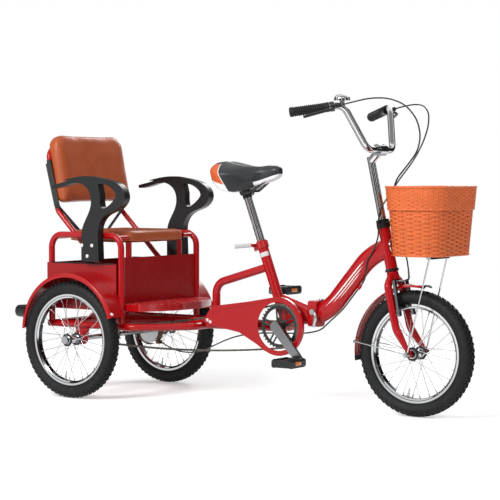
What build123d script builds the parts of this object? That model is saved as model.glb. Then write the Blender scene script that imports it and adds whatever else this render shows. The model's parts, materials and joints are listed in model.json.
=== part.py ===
from build123d import *
import os
from math import acos, atan2, cos, degrees, hypot, pi, radians, sin, sqrt, tan

os.makedirs("parts", exist_ok=True)

# ---------------------------------------------------------------- frame of the model
# +X is forward, +Y is the rider's left, +Z is up and the ground is Z = 0.
# Lengths along X are counted forward from the rear axle, which lies rear_axle_x behind the middle.
rear_axle_x = -580.0
wheelbase = 1209.0
rear_track = 547.4


def fore(distance):
    """X of a place that lies this far in front of the rear axle."""
    return rear_axle_x + distance


def upright(y):
    """A plane that faces the right side, at this Y: sketch X is X and sketch Y is Z."""
    return Plane(origin=(0, y, 0), x_dir=(1, 0, 0), z_dir=(0, -1, 0))


def square_to(start, end):
    """A plane at start that faces end."""
    return Plane(origin=start, z_dir=(Vector(*end) - Vector(*start)).normalized())


# ---------------------------------------------------------------- fits
weld_gap = 0.2  # between pieces of one body that seat on a round face
seat_gap = 0.3  # between a soft or bolted piece and its seat
running_fit = 0.05  # radial, in each bearing
chain_room = 5.0  # sideways, between what turns and what stands still

# ---------------------------------------------------------------- wheels
tyre_r = 202.5
tyre_half_width = 24.5
tyre_widest_r = 179.0
tread_half_width = 15.5
tread_edge_r = 199.0
flange_r = 159.5
rim_half_width = 14.5
rim_wall = 2.4
rim_seat_r = 154.2
rim_inner_r = 144.0
rim_inner_half_width = 8.0
spoke_r = 1.0
spokes_per_flange = 14
spoke_lean = 2 * 360 / spokes_per_flange
hub_shell_r = 13.0
hub_flange_r = 22.0
hub_flange_thick = 3.0
spoke_circle_r = 18.5

front_hub_half_length = 40.5
front_flange_at = 27.0
front_axle_r = 4.8
rear_hub_inner = 33.0
rear_hub_outer = 33.0
rear_flange_at = 24.0
rear_axle_r = 8.5
hub_nut_r = 13.5
hub_nut_thick = 5.5
rear_axle_half_length = rear_track / 2 + rear_hub_outer + seat_gap + hub_nut_thick - 0.5

# ---------------------------------------------------------------- cranks, chain and guard
bb_x = fore(714.0)
bb_z = 267.7
bb_shell_r = 20.0
bb_shell_half_length = 34.0
bb_spindle_r = 8.5
chain_pitch = 12.7
ring_teeth = 36
sprocket_teeth = 16
ring_pitch_r = chain_pitch / (2 * sin(pi / ring_teeth))
sprocket_pitch_r = chain_pitch / (2 * sin(pi / sprocket_teeth))
tooth_height = 2.6
ring_thick = 2.2
chain_y = -45.0
chain_half_height = 4.2
chain_plate_thick = 1.0
chain_inner_half_width = 2.0
chain_sag = 15.0
crank_length = 145.0
crank_angle = -48.5
crank_inner_y = 61.0
crank_thick = 13.0
crank_boss_r = 18.0
crank_eye_r = 13.0
pedal_y = 135.0
pedal_length = 92.0
pedal_reach = 75.0
pedal_thick = 25.0
pedal_axle_r = 5.0
pedal_groove_pitch = 10.5
pedal_groove_width = 3.5
pedal_groove_depth = 1.5
reflector_length = 40.0
reflector_height = 13.0
guard_outer_y = 56.0
guard_thick = 1.5
guard_disc_r = 98.5
guard_hole_r = 81.0
guard_flange = 11.0

# ---------------------------------------------------------------- rear frame
spine_r = 19.0
spine_front_z = 264.0
spine_rear_z = 252.0
seat_angle = 69.5
seat_tube_r = 17.5
seat_tube_length = 300.0
seat_bore_depth = 272.0
post_r = 13.6
post_insert = 165.0
saddle_clamp_z = 693.0
strut_r = 14.0
strut_x = fore(422.0)
chassis_r = 12.5
chassis_z = 250.5
cross_tube_r = 11.0
chassis_bow_x = fore(372.0)
chassis_bow_half = 62.0
chassis_corner_x = fore(228.0)
rail_clearance = 33.2
rail_y = rear_track / 2 - tyre_half_width - rail_clearance
rail_r = 11.0
rail_top_z = 563.5
rail_bend_r = 45.0
box_rear_x = fore(-140.0)
box_front_x = fore(175.0)
side_panel_top = 466.0
front_panel_top = 487.0
panel_thick = 1.5
panel_flange = 11.0
tray_top_z = 330.0
tray_depth = 25.0
tray_thick = 2.0
tray_corner_x = fore(250.0)
tray_bow = 72.0

# ---------------------------------------------------------------- bench and its back
bench_half_width = 158.0
bench_front_x = fore(170.0)
bench_rear_x = fore(-120.0)
bench_bottom_z = 540.0
bench_thick = 37.0
bench_pin_r = 8.0
bench_pin_inset = 20.0
bench_leg_r = 10.0
bench_leg_y = 145.0
back_lean = 12.0
back_tube_r = 9.5
back_tube_y = 177.5
back_half_width = 184.5
back_height = 235.0
back_thick = 40.0
back_centre_z = 799.0
back_front_x = fore(-126.0)
back_bend_z = 645.0
back_bar_z = 868.0
back_foot_x = fore(92.0)
back_foot_z = 415.0
arm_thick = 30.0
strap_width = 22.0
strap_thick = 2.0
strap_loop_z = 815.0
strap_turn_z = 660.0
strap_end_y = 75.0
strap_end_z = 566.0

# ---------------------------------------------------------------- mudguards and lamps
guard_gap = 0.3
guard_clearance = 6.5
guard_rise = 22.5
guard_overhang = 2.8
mudguard_r = tyre_r + guard_clearance
mudguard_x = fore(-2.0)
mudguard_z = tyre_r + guard_rise
mudguard_outer_y = rear_track / 2 + tyre_half_width + guard_overhang
mudguard_thick = 1.5
mudguard_lip = 15.0
mudguard_front_angle = 17.5
mudguard_rear_angle = 177.5
lamp_r = 25.0
lamp_length = 34.0
lamp_z = 292.0
front_guard_clearance = 19.5
front_guard_r = tyre_r + front_guard_clearance
front_guard_half_width = 28.0
front_guard_drop = 9.0
front_guard_thick = 1.5
front_guard_start = 79.0
front_tip_end = 82.0
front_guard_end = 184.0
flap_end = 189.0
trim_gap_angle = 0.1
guard_wire_r = 1.8
guard_wire_angle = 172.0

# ---------------------------------------------------------------- hinge
hinge_x = fore(830.0)
hinge_z = 313.0
hinge_height = 86.0
hinge_half_width = 27.0
hinge_plate = 17.0
hinge_split = 0.3
knuckle_y = 33.0
knuckle_r = 9.0
knuckle_room = 0.6
knuckle_third = 30.0
hinge_pin_r = 4.0

# ---------------------------------------------------------------- front frame, steering
head_x = fore(1119.0)
head_z = 463.0
head_lean = 12.6
steerer_r = 12.7
head_tube_r = 19.0
head_low = 7.0
head_high = 141.0
cup_r = 22.5
cup_low = 8.0
cup_high = 14.0
locknut_height = 13.0
main_tube_half_width = 20.0
main_tube_half_height = 32.0
blade_r = 12.5
blade_tip_r = 7.5
blade_straight_share = 0.25
blade_y = 45.5
dropout_y = 53.0
dropout_thick = 6.0
stem_r = 12.5
clamp_x = fore(1073.0)
clamp_z = 852.0
bar_r = 11.0
bar_lower_half = 80.0
bar_knee = (fore(1024.0), 148.0, 992.0)
bar_end = (fore(892.0), 250.0, 969.0)
bar_bend_r = 38.0
grip_length = 127.0
grip_r = 16.0
cable_r = 2.5
cable_stop_r = 5.5
cable_clearance = 2.0
cable_end_gap = 1.0
cable_joint_gap = 0.6

steer = Vector(-sin(radians(head_lean)), 0, cos(radians(head_lean)))


def on_steering_axis(z):
    """The point of the steering axis at this height."""
    return Vector(head_x, 0, head_z) + steer * ((z - head_z) / steer.Z)


def along_steering_axis(distance):
    """The point of the steering axis this far up from the lower headset cup."""
    return Vector(head_x, 0, head_z) + steer * distance


ahead_of_axis = Vector(steer.Z, 0, -steer.X)


# ---------------------------------------------------------------- basket
basket_x = fore(1260.0)
basket_bottom_z = 516.0
basket_top_z = 737.0
basket_band = 74.0
basket_band_out = 6.0
basket_wall = 6.0
basket_top_half = (109.0, 154.0)
basket_bottom_half = (93.0, 132.0)
basket_top_corner = 80.0
basket_bottom_corner = 68.0
bracket_width = 24.0
bracket_thick = 3.0
bracket_top_z = 660.0
stay_r = 2.6
stay_top_x = fore(1285.0)
stay_y = 58.0

# ================================================================ rear frame
seat_up = Vector(-cos(radians(seat_angle)), 0, sin(radians(seat_angle)))
bb = Vector(bb_x, 0, bb_z)
seat_top = bb + seat_up * seat_tube_length
spine_rear = (box_rear_x, 0, spine_rear_z)
spine_front = (bb_x - bb_shell_r - 1, 0, spine_front_z)
seat_tube_plane = Plane(origin=bb, z_dir=seat_up)
hinge_bottom_z = hinge_z - hinge_height / 2
hinge_top_z = hinge_z + hinge_height / 2

with BuildPart() as main_frame:
    with BuildSketch(upright(0)):
        with Locations((bb_x, bb_z)):
            Circle(bb_shell_r)
    extrude(amount=bb_shell_half_length, both=True)
    with BuildSketch(seat_tube_plane):
        Circle(seat_tube_r)
    extrude(amount=seat_tube_length)
    # the bent strut from the spine to the seat tube
    with BuildLine() as strut_path:
        strut_line = FilletPolyline(
            (strut_x, 0, spine_rear_z),
            (strut_x, 0, 398.0),
            bb + seat_up * 208.0,
            radius=46.0,
        )
    with BuildSketch(Plane(origin=strut_line @ 0, z_dir=strut_line % 0)):
        Circle(strut_r)
    sweep(path=strut_line)
    # the tapered box from the seat tube to the hinge
    with BuildSketch(Plane.YZ.offset(bb_x - 10)):
        with Locations((0, bb_z + 52)):
            RectangleRounded(34.0, 104.0, 15.0)
    with BuildSketch(Plane.YZ.offset(hinge_x - hinge_plate - hinge_split / 2)):
        with Locations((0, hinge_z - 6)):
            RectangleRounded(2 * main_tube_half_width, 60.0, 17.0)
    loft()
    # the rear hinge plate and its two knuckles
    with BuildSketch(Plane.YZ.offset(hinge_x - hinge_plate - hinge_split / 2)):
        with Locations((0, hinge_z)):
            RectangleRounded(2 * hinge_half_width, hinge_height, 12.0)
    extrude(amount=hinge_plate)
    with BuildSketch(Plane.XY.offset(hinge_bottom_z)):
        with Locations((hinge_x, knuckle_y)):
            Circle(knuckle_r)
        with Locations((hinge_x - knuckle_r, knuckle_y - knuckle_r / 2)):
            Rectangle(2 * knuckle_r, knuckle_r)
    extrude(amount=hinge_height)
    # room for the front knuckle, then the bores
    with BuildSketch(Plane.XY.offset(hinge_bottom_z + knuckle_third - knuckle_room)):
        with Locations((hinge_x, knuckle_y)):
            Circle(knuckle_r + knuckle_room)
    extrude(amount=hinge_height - 2 * knuckle_third + 2 * knuckle_room, mode=Mode.SUBTRACT)
    with BuildSketch(Plane.YZ.offset(hinge_x - hinge_split / 2)):
        with Locations((knuckle_y - knuckle_r, hinge_z)):
            Rectangle(4 * knuckle_r, hinge_height - 2 * knuckle_third + 2 * knuckle_room)
    extrude(amount=2 * knuckle_r, mode=Mode.SUBTRACT)
    with BuildSketch(Plane.XY.offset(hinge_bottom_z)):
        with Locations((hinge_x, knuckle_y)):
            Circle(hinge_pin_r + weld_gap)
    extrude(amount=hinge_height, mode=Mode.SUBTRACT)
    with BuildSketch(upright(0)):
        with Locations((bb_x, bb_z)):
            Circle(bb_spindle_r + running_fit)
    extrude(amount=bb_shell_half_length, both=True, mode=Mode.SUBTRACT)
    with BuildSketch(Plane(origin=seat_top, z_dir=-seat_up)):
        Circle(post_r + running_fit)
    extrude(amount=seat_bore_depth, mode=Mode.SUBTRACT)
    # the saddle cut where the strut and the seat tube stand on the spine
    with BuildSketch(square_to(spine_rear, spine_front)):
        Circle(spine_r + weld_gap)
    extrude(amount=(Vector(*spine_front) - Vector(*spine_rear)).length + weld_gap, mode=Mode.SUBTRACT)

main_frame.part.label = "main_frame"
export_step(main_frame.part, "parts/main_frame.step")

# ---------------------------------------------------------------- chassis loop and spine
with BuildPart() as chassis:
    with BuildLine() as chassis_path:
        chassis_line = FilletPolyline(
            (box_rear_x - rail_r, -rail_y, chassis_z),
            (chassis_corner_x, -rail_y, chassis_z),
            (chassis_bow_x, -chassis_bow_half, chassis_z),
            (chassis_bow_x, chassis_bow_half, chassis_z),
            (chassis_corner_x, rail_y, chassis_z),
            (box_rear_x - rail_r, rail_y, chassis_z),
            radius=55.0,
        )
    with BuildSketch(Plane(origin=chassis_line @ 0, z_dir=chassis_line % 0)):
        Circle(chassis_r)
    sweep(path=chassis_line)
    with BuildSketch(upright(0)):
        with Locations((box_rear_x, chassis_z)):
            Circle(cross_tube_r)
    extrude(amount=rail_y, both=True)
    with BuildSketch(square_to(spine_rear, spine_front)):
        Circle(spine_r)
    extrude(amount=(Vector(*spine_front) - Vector(*spine_rear)).length)

chassis.part.label = "chassis"
export_step(chassis.part, "parts/chassis.step")

# ---------------------------------------------------------------- inverted-U side rails
with BuildPart() as side_rails:
    for side in (-1, 1):
        with BuildLine() as rail_path:
            rail_line = FilletPolyline(
                (box_rear_x, side * rail_y, chassis_z),
                (box_rear_x, side * rail_y, rail_top_z),
                (box_front_x, side * rail_y, rail_top_z),
                (box_front_x, side * rail_y, chassis_z),
                radius=rail_bend_r,
            )
        with BuildSketch(Plane(origin=rail_line @ 0, z_dir=rail_line % 0)):
            Circle(rail_r)
        sweep(path=rail_line)
    # the feet are coped to the chassis
    add(chassis.part, mode=Mode.SUBTRACT)

side_rails.part.label = "side_rails"
export_step(side_rails.part, "parts/side_rails.step")

# ---------------------------------------------------------------- foot tray
tray_half_width = rail_y - rail_r - seat_gap
tray_rear_x = box_rear_x + panel_thick / 2 + seat_gap

with BuildPart() as foot_tray:
    with BuildSketch(Plane.XY.offset(tray_top_z - tray_depth)) as tray_outline:
        with BuildLine():
            Polyline(
                (tray_corner_x, -tray_half_width),
                (tray_rear_x, -tray_half_width),
                (tray_rear_x, tray_half_width),
                (tray_corner_x, tray_half_width),
            )
            ThreePointArc(
                (tray_corner_x, tray_half_width),
                (tray_corner_x + tray_bow, 0),
                (tray_corner_x, -tray_half_width),
            )
        make_face()
        fillet(tray_outline.vertices().group_by(Axis.X)[-1], radius=18.0)
    extrude(amount=tray_depth)
    offset(amount=-tray_thick, openings=foot_tray.faces().sort_by(Axis.Z)[0])

foot_tray.part.label = "foot_tray"
export_step(foot_tray.part, "parts/foot_tray.step")

# ---------------------------------------------------------------- sheet panels of the box
panel_inner_y = rail_y + rail_r + seat_gap
panel_bottom_z = chassis_z + chassis_r + seat_gap
side_panel_front_x = box_front_x - rail_r - 1

with BuildPart() as box_panels:
    for side in (-1, 1):
        with BuildSketch(upright(side * panel_inner_y)):
            with BuildLine():
                Polyline(
                    (box_rear_x - rail_r, tray_top_z - tray_depth),
                    (side_panel_front_x, tray_top_z - tray_depth),
                    (side_panel_front_x, side_panel_top),
                    (box_rear_x - rail_r, side_panel_top),
                    close=True,
                )
            make_face()
        extrude(amount=-side * panel_thick)
        # the top edge is folded in between the posts
        with BuildSketch(Plane.XY.offset(side_panel_top)):
            with Locations(((box_rear_x + box_front_x) / 2, side * (panel_inner_y - panel_flange / 2))):
                Rectangle(box_front_x - box_rear_x - 2 * rail_r - 2, panel_flange)
        extrude(amount=-panel_thick)
    for panel_x, top_z, bottom_z in (
        (box_front_x, front_panel_top, tray_top_z + seat_gap),
        (box_rear_x, side_panel_top, tray_top_z - tray_depth),
    ):
        with BuildSketch(Plane.YZ.offset(panel_x - panel_thick / 2)):
            with Locations((0, (top_z + bottom_z) / 2)):
                Rectangle(2 * tray_half_width, top_z - bottom_z)
        extrude(amount=panel_thick)
        inward = -1 if panel_x == box_front_x else 1
        with BuildSketch(Plane.XY.offset(top_z)):
            with Locations((panel_x + inward * panel_flange / 2, 0)):
                Rectangle(panel_flange, 2 * tray_half_width)
        extrude(amount=-panel_thick)

box_panels.part.label = "box_panels"
export_step(box_panels.part, "parts/box_panels.step")

# ---------------------------------------------------------------- bench
with BuildPart() as bench_cushion:
    with BuildSketch(Plane.XY.offset(bench_bottom_z)):
        with Locations(((bench_front_x + bench_rear_x) / 2, 0)):
            RectangleRounded(bench_front_x - bench_rear_x, 2 * bench_half_width, 14.0)
    extrude(amount=bench_thick)
    fillet(bench_cushion.faces().sort_by(Axis.Z)[-1].edges(), radius=9.0)

bench_cushion.part.label = "bench_cushion"
export_step(bench_cushion.part, "parts/bench_cushion.step")

# the pins meet the middle of the rails' upper bends
bench_pin_z = rail_top_z - rail_bend_r + sqrt(rail_bend_r**2 - (rail_bend_r - bench_pin_inset) ** 2)

with BuildPart() as bench_supports:
    for side in (-1, 1):
        for pin_x in (box_rear_x + bench_pin_inset, box_front_x - bench_pin_inset):
            with BuildSketch(upright(side * (bench_half_width + seat_gap))):
                with Locations((pin_x, bench_pin_z)):
                    Circle(bench_pin_r)
            extrude(amount=-side * (rail_y - bench_half_width - seat_gap))
        with BuildSketch(Plane.XY.offset(tray_top_z)):
            with Locations((bench_front_x - 20, side * bench_leg_y)):
                Circle(bench_leg_r)
        extrude(amount=bench_bottom_z - tray_top_z - seat_gap)
    add(side_rails.part, mode=Mode.SUBTRACT)

bench_supports.part.label = "bench_supports"
export_step(bench_supports.part, "parts/bench_supports.step")

# ---------------------------------------------------------------- back of the bench
back_normal = Vector(cos(radians(back_lean)), 0, sin(radians(back_lean)))
back_face = Vector(back_front_x, 0, back_centre_z)
back_plane = Plane(origin=back_face - back_normal * back_thick, x_dir=(0, 1, 0), z_dir=back_normal)


def behind_cushion(z):
    """X of the back tubes' centre line at this height, just behind the cushion."""
    centre = back_face - back_normal * (back_thick + back_tube_r + seat_gap)
    return centre.X - (z - centre.Z) * tan(radians(back_lean))


with BuildPart() as back_cushion:
    with BuildSketch(back_plane) as back_outline:
        Rectangle(2 * back_half_width, back_height)
        fillet(back_outline.vertices().sort_by(Axis.Z)[-2:], radius=48.0)
        fillet(back_outline.vertices().sort_by(Axis.Z)[:2], radius=20.0)
    extrude(amount=back_thick)
    fillet(back_cushion.edges().filter_by(lambda edge: abs(edge.tangent_at(0.5).dot(back_normal)) < 0.01), radius=10.0)

back_cushion.part.label = "back_cushion"
export_step(back_cushion.part, "parts/back_cushion.step")

with BuildPart() as back_frame:
    with BuildLine() as back_path:
        back_line = FilletPolyline(
            (back_foot_x, -back_tube_y, back_foot_z),
            (behind_cushion(back_bend_z), -back_tube_y, back_bend_z),
            (behind_cushion(back_bar_z), -back_tube_y, back_bar_z),
            (behind_cushion(back_bar_z), back_tube_y, back_bar_z),
            (behind_cushion(back_bend_z), back_tube_y, back_bend_z),
            (back_foot_x, back_tube_y, back_foot_z),
            radius=40.0,
        )
    with BuildSketch(Plane(origin=back_line @ 0, z_dir=back_line % 0)):
        Circle(back_tube_r)
    sweep(path=back_line)
    # the foot of each leg is bolted to its side panel
    for side in (-1, 1):
        with BuildSketch(upright(side * back_tube_y)):
            with Locations((back_foot_x, back_foot_z)):
                Circle(back_tube_r + 3)
        extrude(amount=-side * (panel_inner_y - back_tube_y - weld_gap))

back_frame.part.label = "back_frame"
export_step(back_frame.part, "parts/back_frame.step")

# ---------------------------------------------------------------- armrests
arm_inner_y = rail_y + rail_r + seat_gap

with BuildPart() as armrests:
    for side in (-1, 1):
        with BuildSketch(upright(side * arm_inner_y)):
            with BuildLine():
                Polyline((fore(31), 545), (fore(31), 474), (fore(109), 474), (fore(106), 555))
                Spline(
                    (fore(106), 555),
                    (fore(108), 592),
                    (fore(128), 626),
                    (fore(165), 645),
                    (fore(203), 662),
                    (fore(224), 692),
                    (fore(212), 728),
                    (fore(165), 752),
                    (fore(95), 765),
                    (fore(20), 767),
                    (fore(-50), 753),
                    (fore(-96), 738),
                    tangents=[(0, 1), (-1, -0.2)],
                )
                ThreePointArc((fore(-96), 738), (fore(-102), 731), (fore(-95), 725.5))
                Spline(
                    (fore(-95), 725.5),
                    (fore(-40), 736),
                    (fore(20), 745),
                    (fore(66), 716),
                    (fore(74), 670),
                    (fore(56), 628),
                    (fore(37), 592),
                    (fore(31), 545),
                    tangents=[(1, 0.1), (0, -1)],
                )
            make_face()
            with BuildLine():
                Spline(
                    (fore(106), 742),
                    (fore(155), 733),
                    (fore(185), 702),
                    (fore(170), 681),
                    (fore(121), 661),
                    (fore(115), 700),
                    (fore(106), 742),
                    tangents=[(1, 0), (-0.25, 1)],
                )
            make_face(mode=Mode.SUBTRACT)
        extrude(amount=-side * arm_thick)

armrests.part.label = "armrests"
export_step(armrests.part, "parts/armrests.step")

# ---------------------------------------------------------------- webbing that holds the back upright
strap_end_x = bench_rear_x - seat_gap - strap_width / 2

with BuildPart() as back_straps:
    for side in (-1, 1):
        loop_centre = Vector(behind_cushion(strap_loop_z), side * back_tube_y, strap_loop_z)
        loop_r = back_tube_r + weld_gap + strap_thick
        turn = Vector(behind_cushion(strap_turn_z) + back_tube_r, side * (back_tube_y + loop_r), strap_turn_z)
        top = loop_centre + Vector(0, side * (loop_r - strap_thick / 2), 0)
        with BuildLine() as strap_path:
            strap_line = FilletPolyline(top, turn, (strap_end_x, side * strap_end_y, strap_end_z), radius=24.0)
        across = (turn - top).cross(Vector(strap_end_x, side * strap_end_y, strap_end_z) - turn)
        with BuildSketch(Plane(origin=strap_line @ 0, x_dir=across.normalized(), z_dir=strap_line % 0)):
            Rectangle(strap_width, strap_thick)
        sweep(path=strap_line)
        with BuildSketch(Plane(origin=loop_centre, z_dir=(-sin(radians(back_lean)), 0, cos(radians(back_lean))))):
            Circle(loop_r)
        extrude(amount=strap_width / 2, both=True)
    add(back_frame.part, mode=Mode.SUBTRACT)
    # the cushion presses the front of each loop flat
    with BuildSketch(back_plane.offset(-weld_gap)):
        Rectangle(2 * (back_half_width + seat_gap), back_height)
    extrude(amount=back_thick, mode=Mode.SUBTRACT)

back_straps.part.label = "back_straps"
export_step(back_straps.part, "parts/back_straps.step")

# ---------------------------------------------------------------- rear mudguards and lamps
mudguard_inner_y = panel_inner_y + panel_thick + guard_gap
mudguard_axis = Axis((mudguard_x, 0, mudguard_z), (0, -1, 0))


def mudguard_plane(angle):
    """A plane through the mudguard's axis: sketch X is Y and sketch Y is the radius at this angle."""
    outward = Vector(cos(radians(angle)), 0, sin(radians(angle)))
    return Plane(origin=(mudguard_x, 0, mudguard_z), x_dir=(0, 1, 0), z_dir=Vector(0, 1, 0).cross(outward))


with BuildPart() as mudguards:
    for side in (-1, 1):
        with BuildSketch(mudguard_plane(mudguard_front_angle)):
            with BuildLine() as skin:
                FilletPolyline(
                    (side * mudguard_inner_y, mudguard_r - mudguard_thick / 2),
                    (side * (mudguard_outer_y - mudguard_thick / 2), mudguard_r - mudguard_thick / 2),
                    (side * (mudguard_outer_y - mudguard_thick / 2), mudguard_r - mudguard_lip),
                    radius=8.0,
                )
            trace(line_width=mudguard_thick)
        revolve(axis=mudguard_axis, revolution_arc=mudguard_rear_angle - mudguard_front_angle)

mudguards.part.label = "mudguards"
export_step(mudguards.part, "parts/mudguards.step")

with BuildPart() as rear_lamps:
    for side in (-1, 1):
        with BuildSketch(Plane.YZ.offset(mudguard_x - mudguard_r - lamp_length)):
            with Locations((side * rear_track / 2, lamp_z)):
                Circle(lamp_r - 4)
        extrude(amount=lamp_length + 30, taper=-4.0)
    with BuildSketch(upright(-mudguard_outer_y)):
        with Locations((mudguard_x, mudguard_z)):
            Circle(mudguard_r + weld_gap)
    extrude(amount=-2 * mudguard_outer_y, mode=Mode.SUBTRACT)

rear_lamps.part.label = "rear_lamps"
export_step(rear_lamps.part, "parts/rear_lamps.step")

# ---------------------------------------------------------------- axle hangers and band brake
hanger_y = rail_y
hanger_thick = 10.0
hanger_bore_r = rear_axle_r + running_fit
axle_z = tyre_r

with BuildPart() as axle_hangers:
    for side in (-1, 1):
        with BuildSketch(upright(side * (hanger_y - hanger_thick / 2))):
            with BuildLine():
                Polyline(
                    (rear_axle_x - 30, chassis_z),
                    (rear_axle_x - 20, axle_z - 12),
                    (rear_axle_x + 20, axle_z - 12),
                    (rear_axle_x + 30, chassis_z),
                    close=True,
                )
            make_face()
            with Locations((rear_axle_x, axle_z)):
                Circle(22.0)
        extrude(amount=-side * hanger_thick)
        with BuildSketch(Plane.YZ.offset(rear_axle_x - 60)):
            with Locations((side * rail_y, chassis_z)):
                Circle(chassis_r + weld_gap)
        extrude(amount=120.0, mode=Mode.SUBTRACT)
    with BuildSketch(upright(0)):
        with Locations((rear_axle_x, axle_z)):
            Circle(hanger_bore_r)
    extrude(amount=rail_y + hanger_thick, both=True, mode=Mode.SUBTRACT)

axle_hangers.part.label = "axle_hangers"
export_step(axle_hangers.part, "parts/axle_hangers.step")

brake_drum_r = 44.0
brake_drum_y = 168.0
brake_drum_width = 20.0
brake_band_r = brake_drum_r + chain_room + 0.5
band_lug = (40.0, -42.0)
band_lug_length = 16.0

with BuildPart() as rear_brake:
    with BuildSketch(upright(brake_drum_y + brake_drum_width / 2)):
        with Locations((rear_axle_x, axle_z)):
            Circle(brake_band_r + 3)
            Circle(brake_band_r, mode=Mode.SUBTRACT)
        with Locations((rear_axle_x + 30, axle_z - 70)):
            Rectangle(40.0, 60.0, mode=Mode.SUBTRACT)
        # the lug that the cable pulls
        with Locations((rear_axle_x + band_lug[0], axle_z + band_lug[1])):
            Rectangle(band_lug_length, 12.0)
        with Locations((rear_axle_x, axle_z)):
            Circle(brake_band_r, mode=Mode.SUBTRACT)
    extrude(amount=brake_drum_width)
    # the arm that hangs the band from the chassis
    with BuildSketch(upright(brake_drum_y)):
        with Locations((rear_axle_x + 24, axle_z + 50)):
            Rectangle(34.0, 12.0)
        with Locations((rear_axle_x, axle_z)):
            Circle(brake_band_r, mode=Mode.SUBTRACT)
    extrude(amount=brake_drum_y - rail_y)
    add(chassis.part, mode=Mode.SUBTRACT)

rear_brake.part.label = "rear_brake"
export_step(rear_brake.part, "parts/rear_brake.step")

# ---------------------------------------------------------------- seat clamp
with BuildPart() as seat_clamp:
    with BuildSketch(Plane(origin=seat_top - seat_up * 26, x_dir=(0, 1, 0), z_dir=seat_up)):
        Circle(seat_tube_r + 4)
        Circle(seat_tube_r + weld_gap, mode=Mode.SUBTRACT)
        with Locations((0, seat_tube_r + 8)):
            Rectangle(16.0, 14.0)
        Circle(seat_tube_r + weld_gap, mode=Mode.SUBTRACT)
    extrude(amount=22.0)
    with BuildLine() as lever_path:
        lever_line = Polyline(
            seat_top - seat_up * 15 + Vector(-30, -20, 0),
            seat_top - seat_up * 15 + Vector(-92, -30, -6),
        )
    with BuildSketch(Plane(origin=lever_line @ 0, z_dir=lever_line % 0)):
        Ellipse(4.0, 7.0)
    sweep(path=lever_line)
    with BuildSketch(Plane(origin=seat_top - seat_up * 15 + Vector(-29, 14, 0), z_dir=(0, -1, 0))):
        Circle(7.0)
    extrude(amount=42.0)

seat_clamp.part.label = "seat_clamp"
export_step(seat_clamp.part, "parts/seat_clamp.step")

# ================================================================ chain drive
# The chain's path: two wraps joined by two sagging arcs, all tangent to one another.
sprocket = Vector(rear_axle_x, axle_z)
ring = Vector(bb_x, bb_z)
drive_span = (ring - sprocket).length
drive_angle = atan2(ring.Y - sprocket.Y, ring.X - sprocket.X)
sag_r = drive_span**2 / (8 * chain_sag)


def sag_centre(rear_reach, front_reach):
    """Centre above the drive that lies these distances from the sprocket's and the ring's centres."""
    base = (rear_reach**2 - front_reach**2 + drive_span**2) / (2 * drive_span)
    rise = sqrt(rear_reach**2 - base**2)
    along = Vector(cos(drive_angle), sin(drive_angle))
    return sprocket + along * base + Vector(-along.Y, along.X) * rise


upper_centre = sag_centre(sag_r + sprocket_pitch_r, sag_r + ring_pitch_r)
lower_centre = sag_centre(sag_r - sprocket_pitch_r, sag_r - ring_pitch_r)
upper_rear = sprocket + (upper_centre - sprocket).normalized() * sprocket_pitch_r
upper_front = ring + (upper_centre - ring).normalized() * ring_pitch_r
lower_rear = sprocket - (lower_centre - sprocket).normalized() * sprocket_pitch_r
lower_front = ring - (lower_centre - ring).normalized() * ring_pitch_r


def chain_loop(grow):
    """The chain's closed path, moved outward by grow: rear wrap, upper run, front wrap, lower run."""
    def shifted(point, centre, amount):
        return point + (point - centre).normalized() * amount

    corners = (
        shifted(lower_rear, sprocket, grow),
        shifted(upper_rear, sprocket, grow),
        shifted(upper_front, ring, grow),
        shifted(lower_front, ring, grow),
    )
    rear_far = sprocket - Vector(cos(drive_angle), sin(drive_angle)) * (sprocket_pitch_r + grow)
    front_far = ring + Vector(cos(drive_angle), sin(drive_angle)) * (ring_pitch_r + grow)
    upper_mid = (corners[1] + corners[2]) * 0.5
    upper_mid = upper_centre + (upper_mid - upper_centre).normalized() * (sag_r - grow)
    lower_mid = (corners[0] + corners[3]) * 0.5
    lower_mid = lower_centre + (lower_mid - lower_centre).normalized() * (sag_r + grow)
    ThreePointArc(corners[0], rear_far, corners[1])
    ThreePointArc(corners[1], upper_mid, corners[2])
    ThreePointArc(corners[2], front_far, corners[3])
    ThreePointArc(corners[3], lower_mid, corners[0])


with BuildPart() as chain:
    for side in (-1, 1):
        with BuildSketch(upright(chain_y - side * chain_inner_half_width)):
            with BuildLine():
                chain_loop(chain_half_height)
            make_face()
            with BuildLine():
                chain_loop(-chain_half_height)
            make_face(mode=Mode.SUBTRACT)
        extrude(amount=side * 2 * chain_plate_thick)
    # rollers join the two rows of plates on the free runs, clear of the teeth
    for centre, radius, start, end in (
        (upper_centre, sag_r, upper_rear, upper_front),
        (lower_centre, sag_r, lower_rear, lower_front),
    ):
        start_angle = atan2(start.Y - centre.Y, start.X - centre.X)
        end_angle = atan2(end.Y - centre.Y, end.X - centre.X)
        step = chain_pitch / radius
        count = int((end_angle - start_angle) / step)
        for number in range(3, count - 3, 4):
            angle = start_angle + number * step
            with BuildSketch(upright(chain_y + chain_inner_half_width)):
                with Locations((centre.X + radius * cos(angle), centre.Y + radius * sin(angle))):
                    Circle(2.8)
            extrude(amount=2 * chain_inner_half_width)

chain.part.label = "chain"
export_step(chain.part, "parts/chain.step")

# ---------------------------------------------------------------- chain guard
guard_tail = (
    (fore(664.0), 181.0),
    (fore(628.0), 204.0),
    (fore(556.0), 240.0),
    (fore(424.0), 261.0),
    (fore(405.0), 271.0),
    (fore(442.0), 324.0),
    (fore(600.0), 347.0),
    (fore(700.0), 365.0),
)

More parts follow.
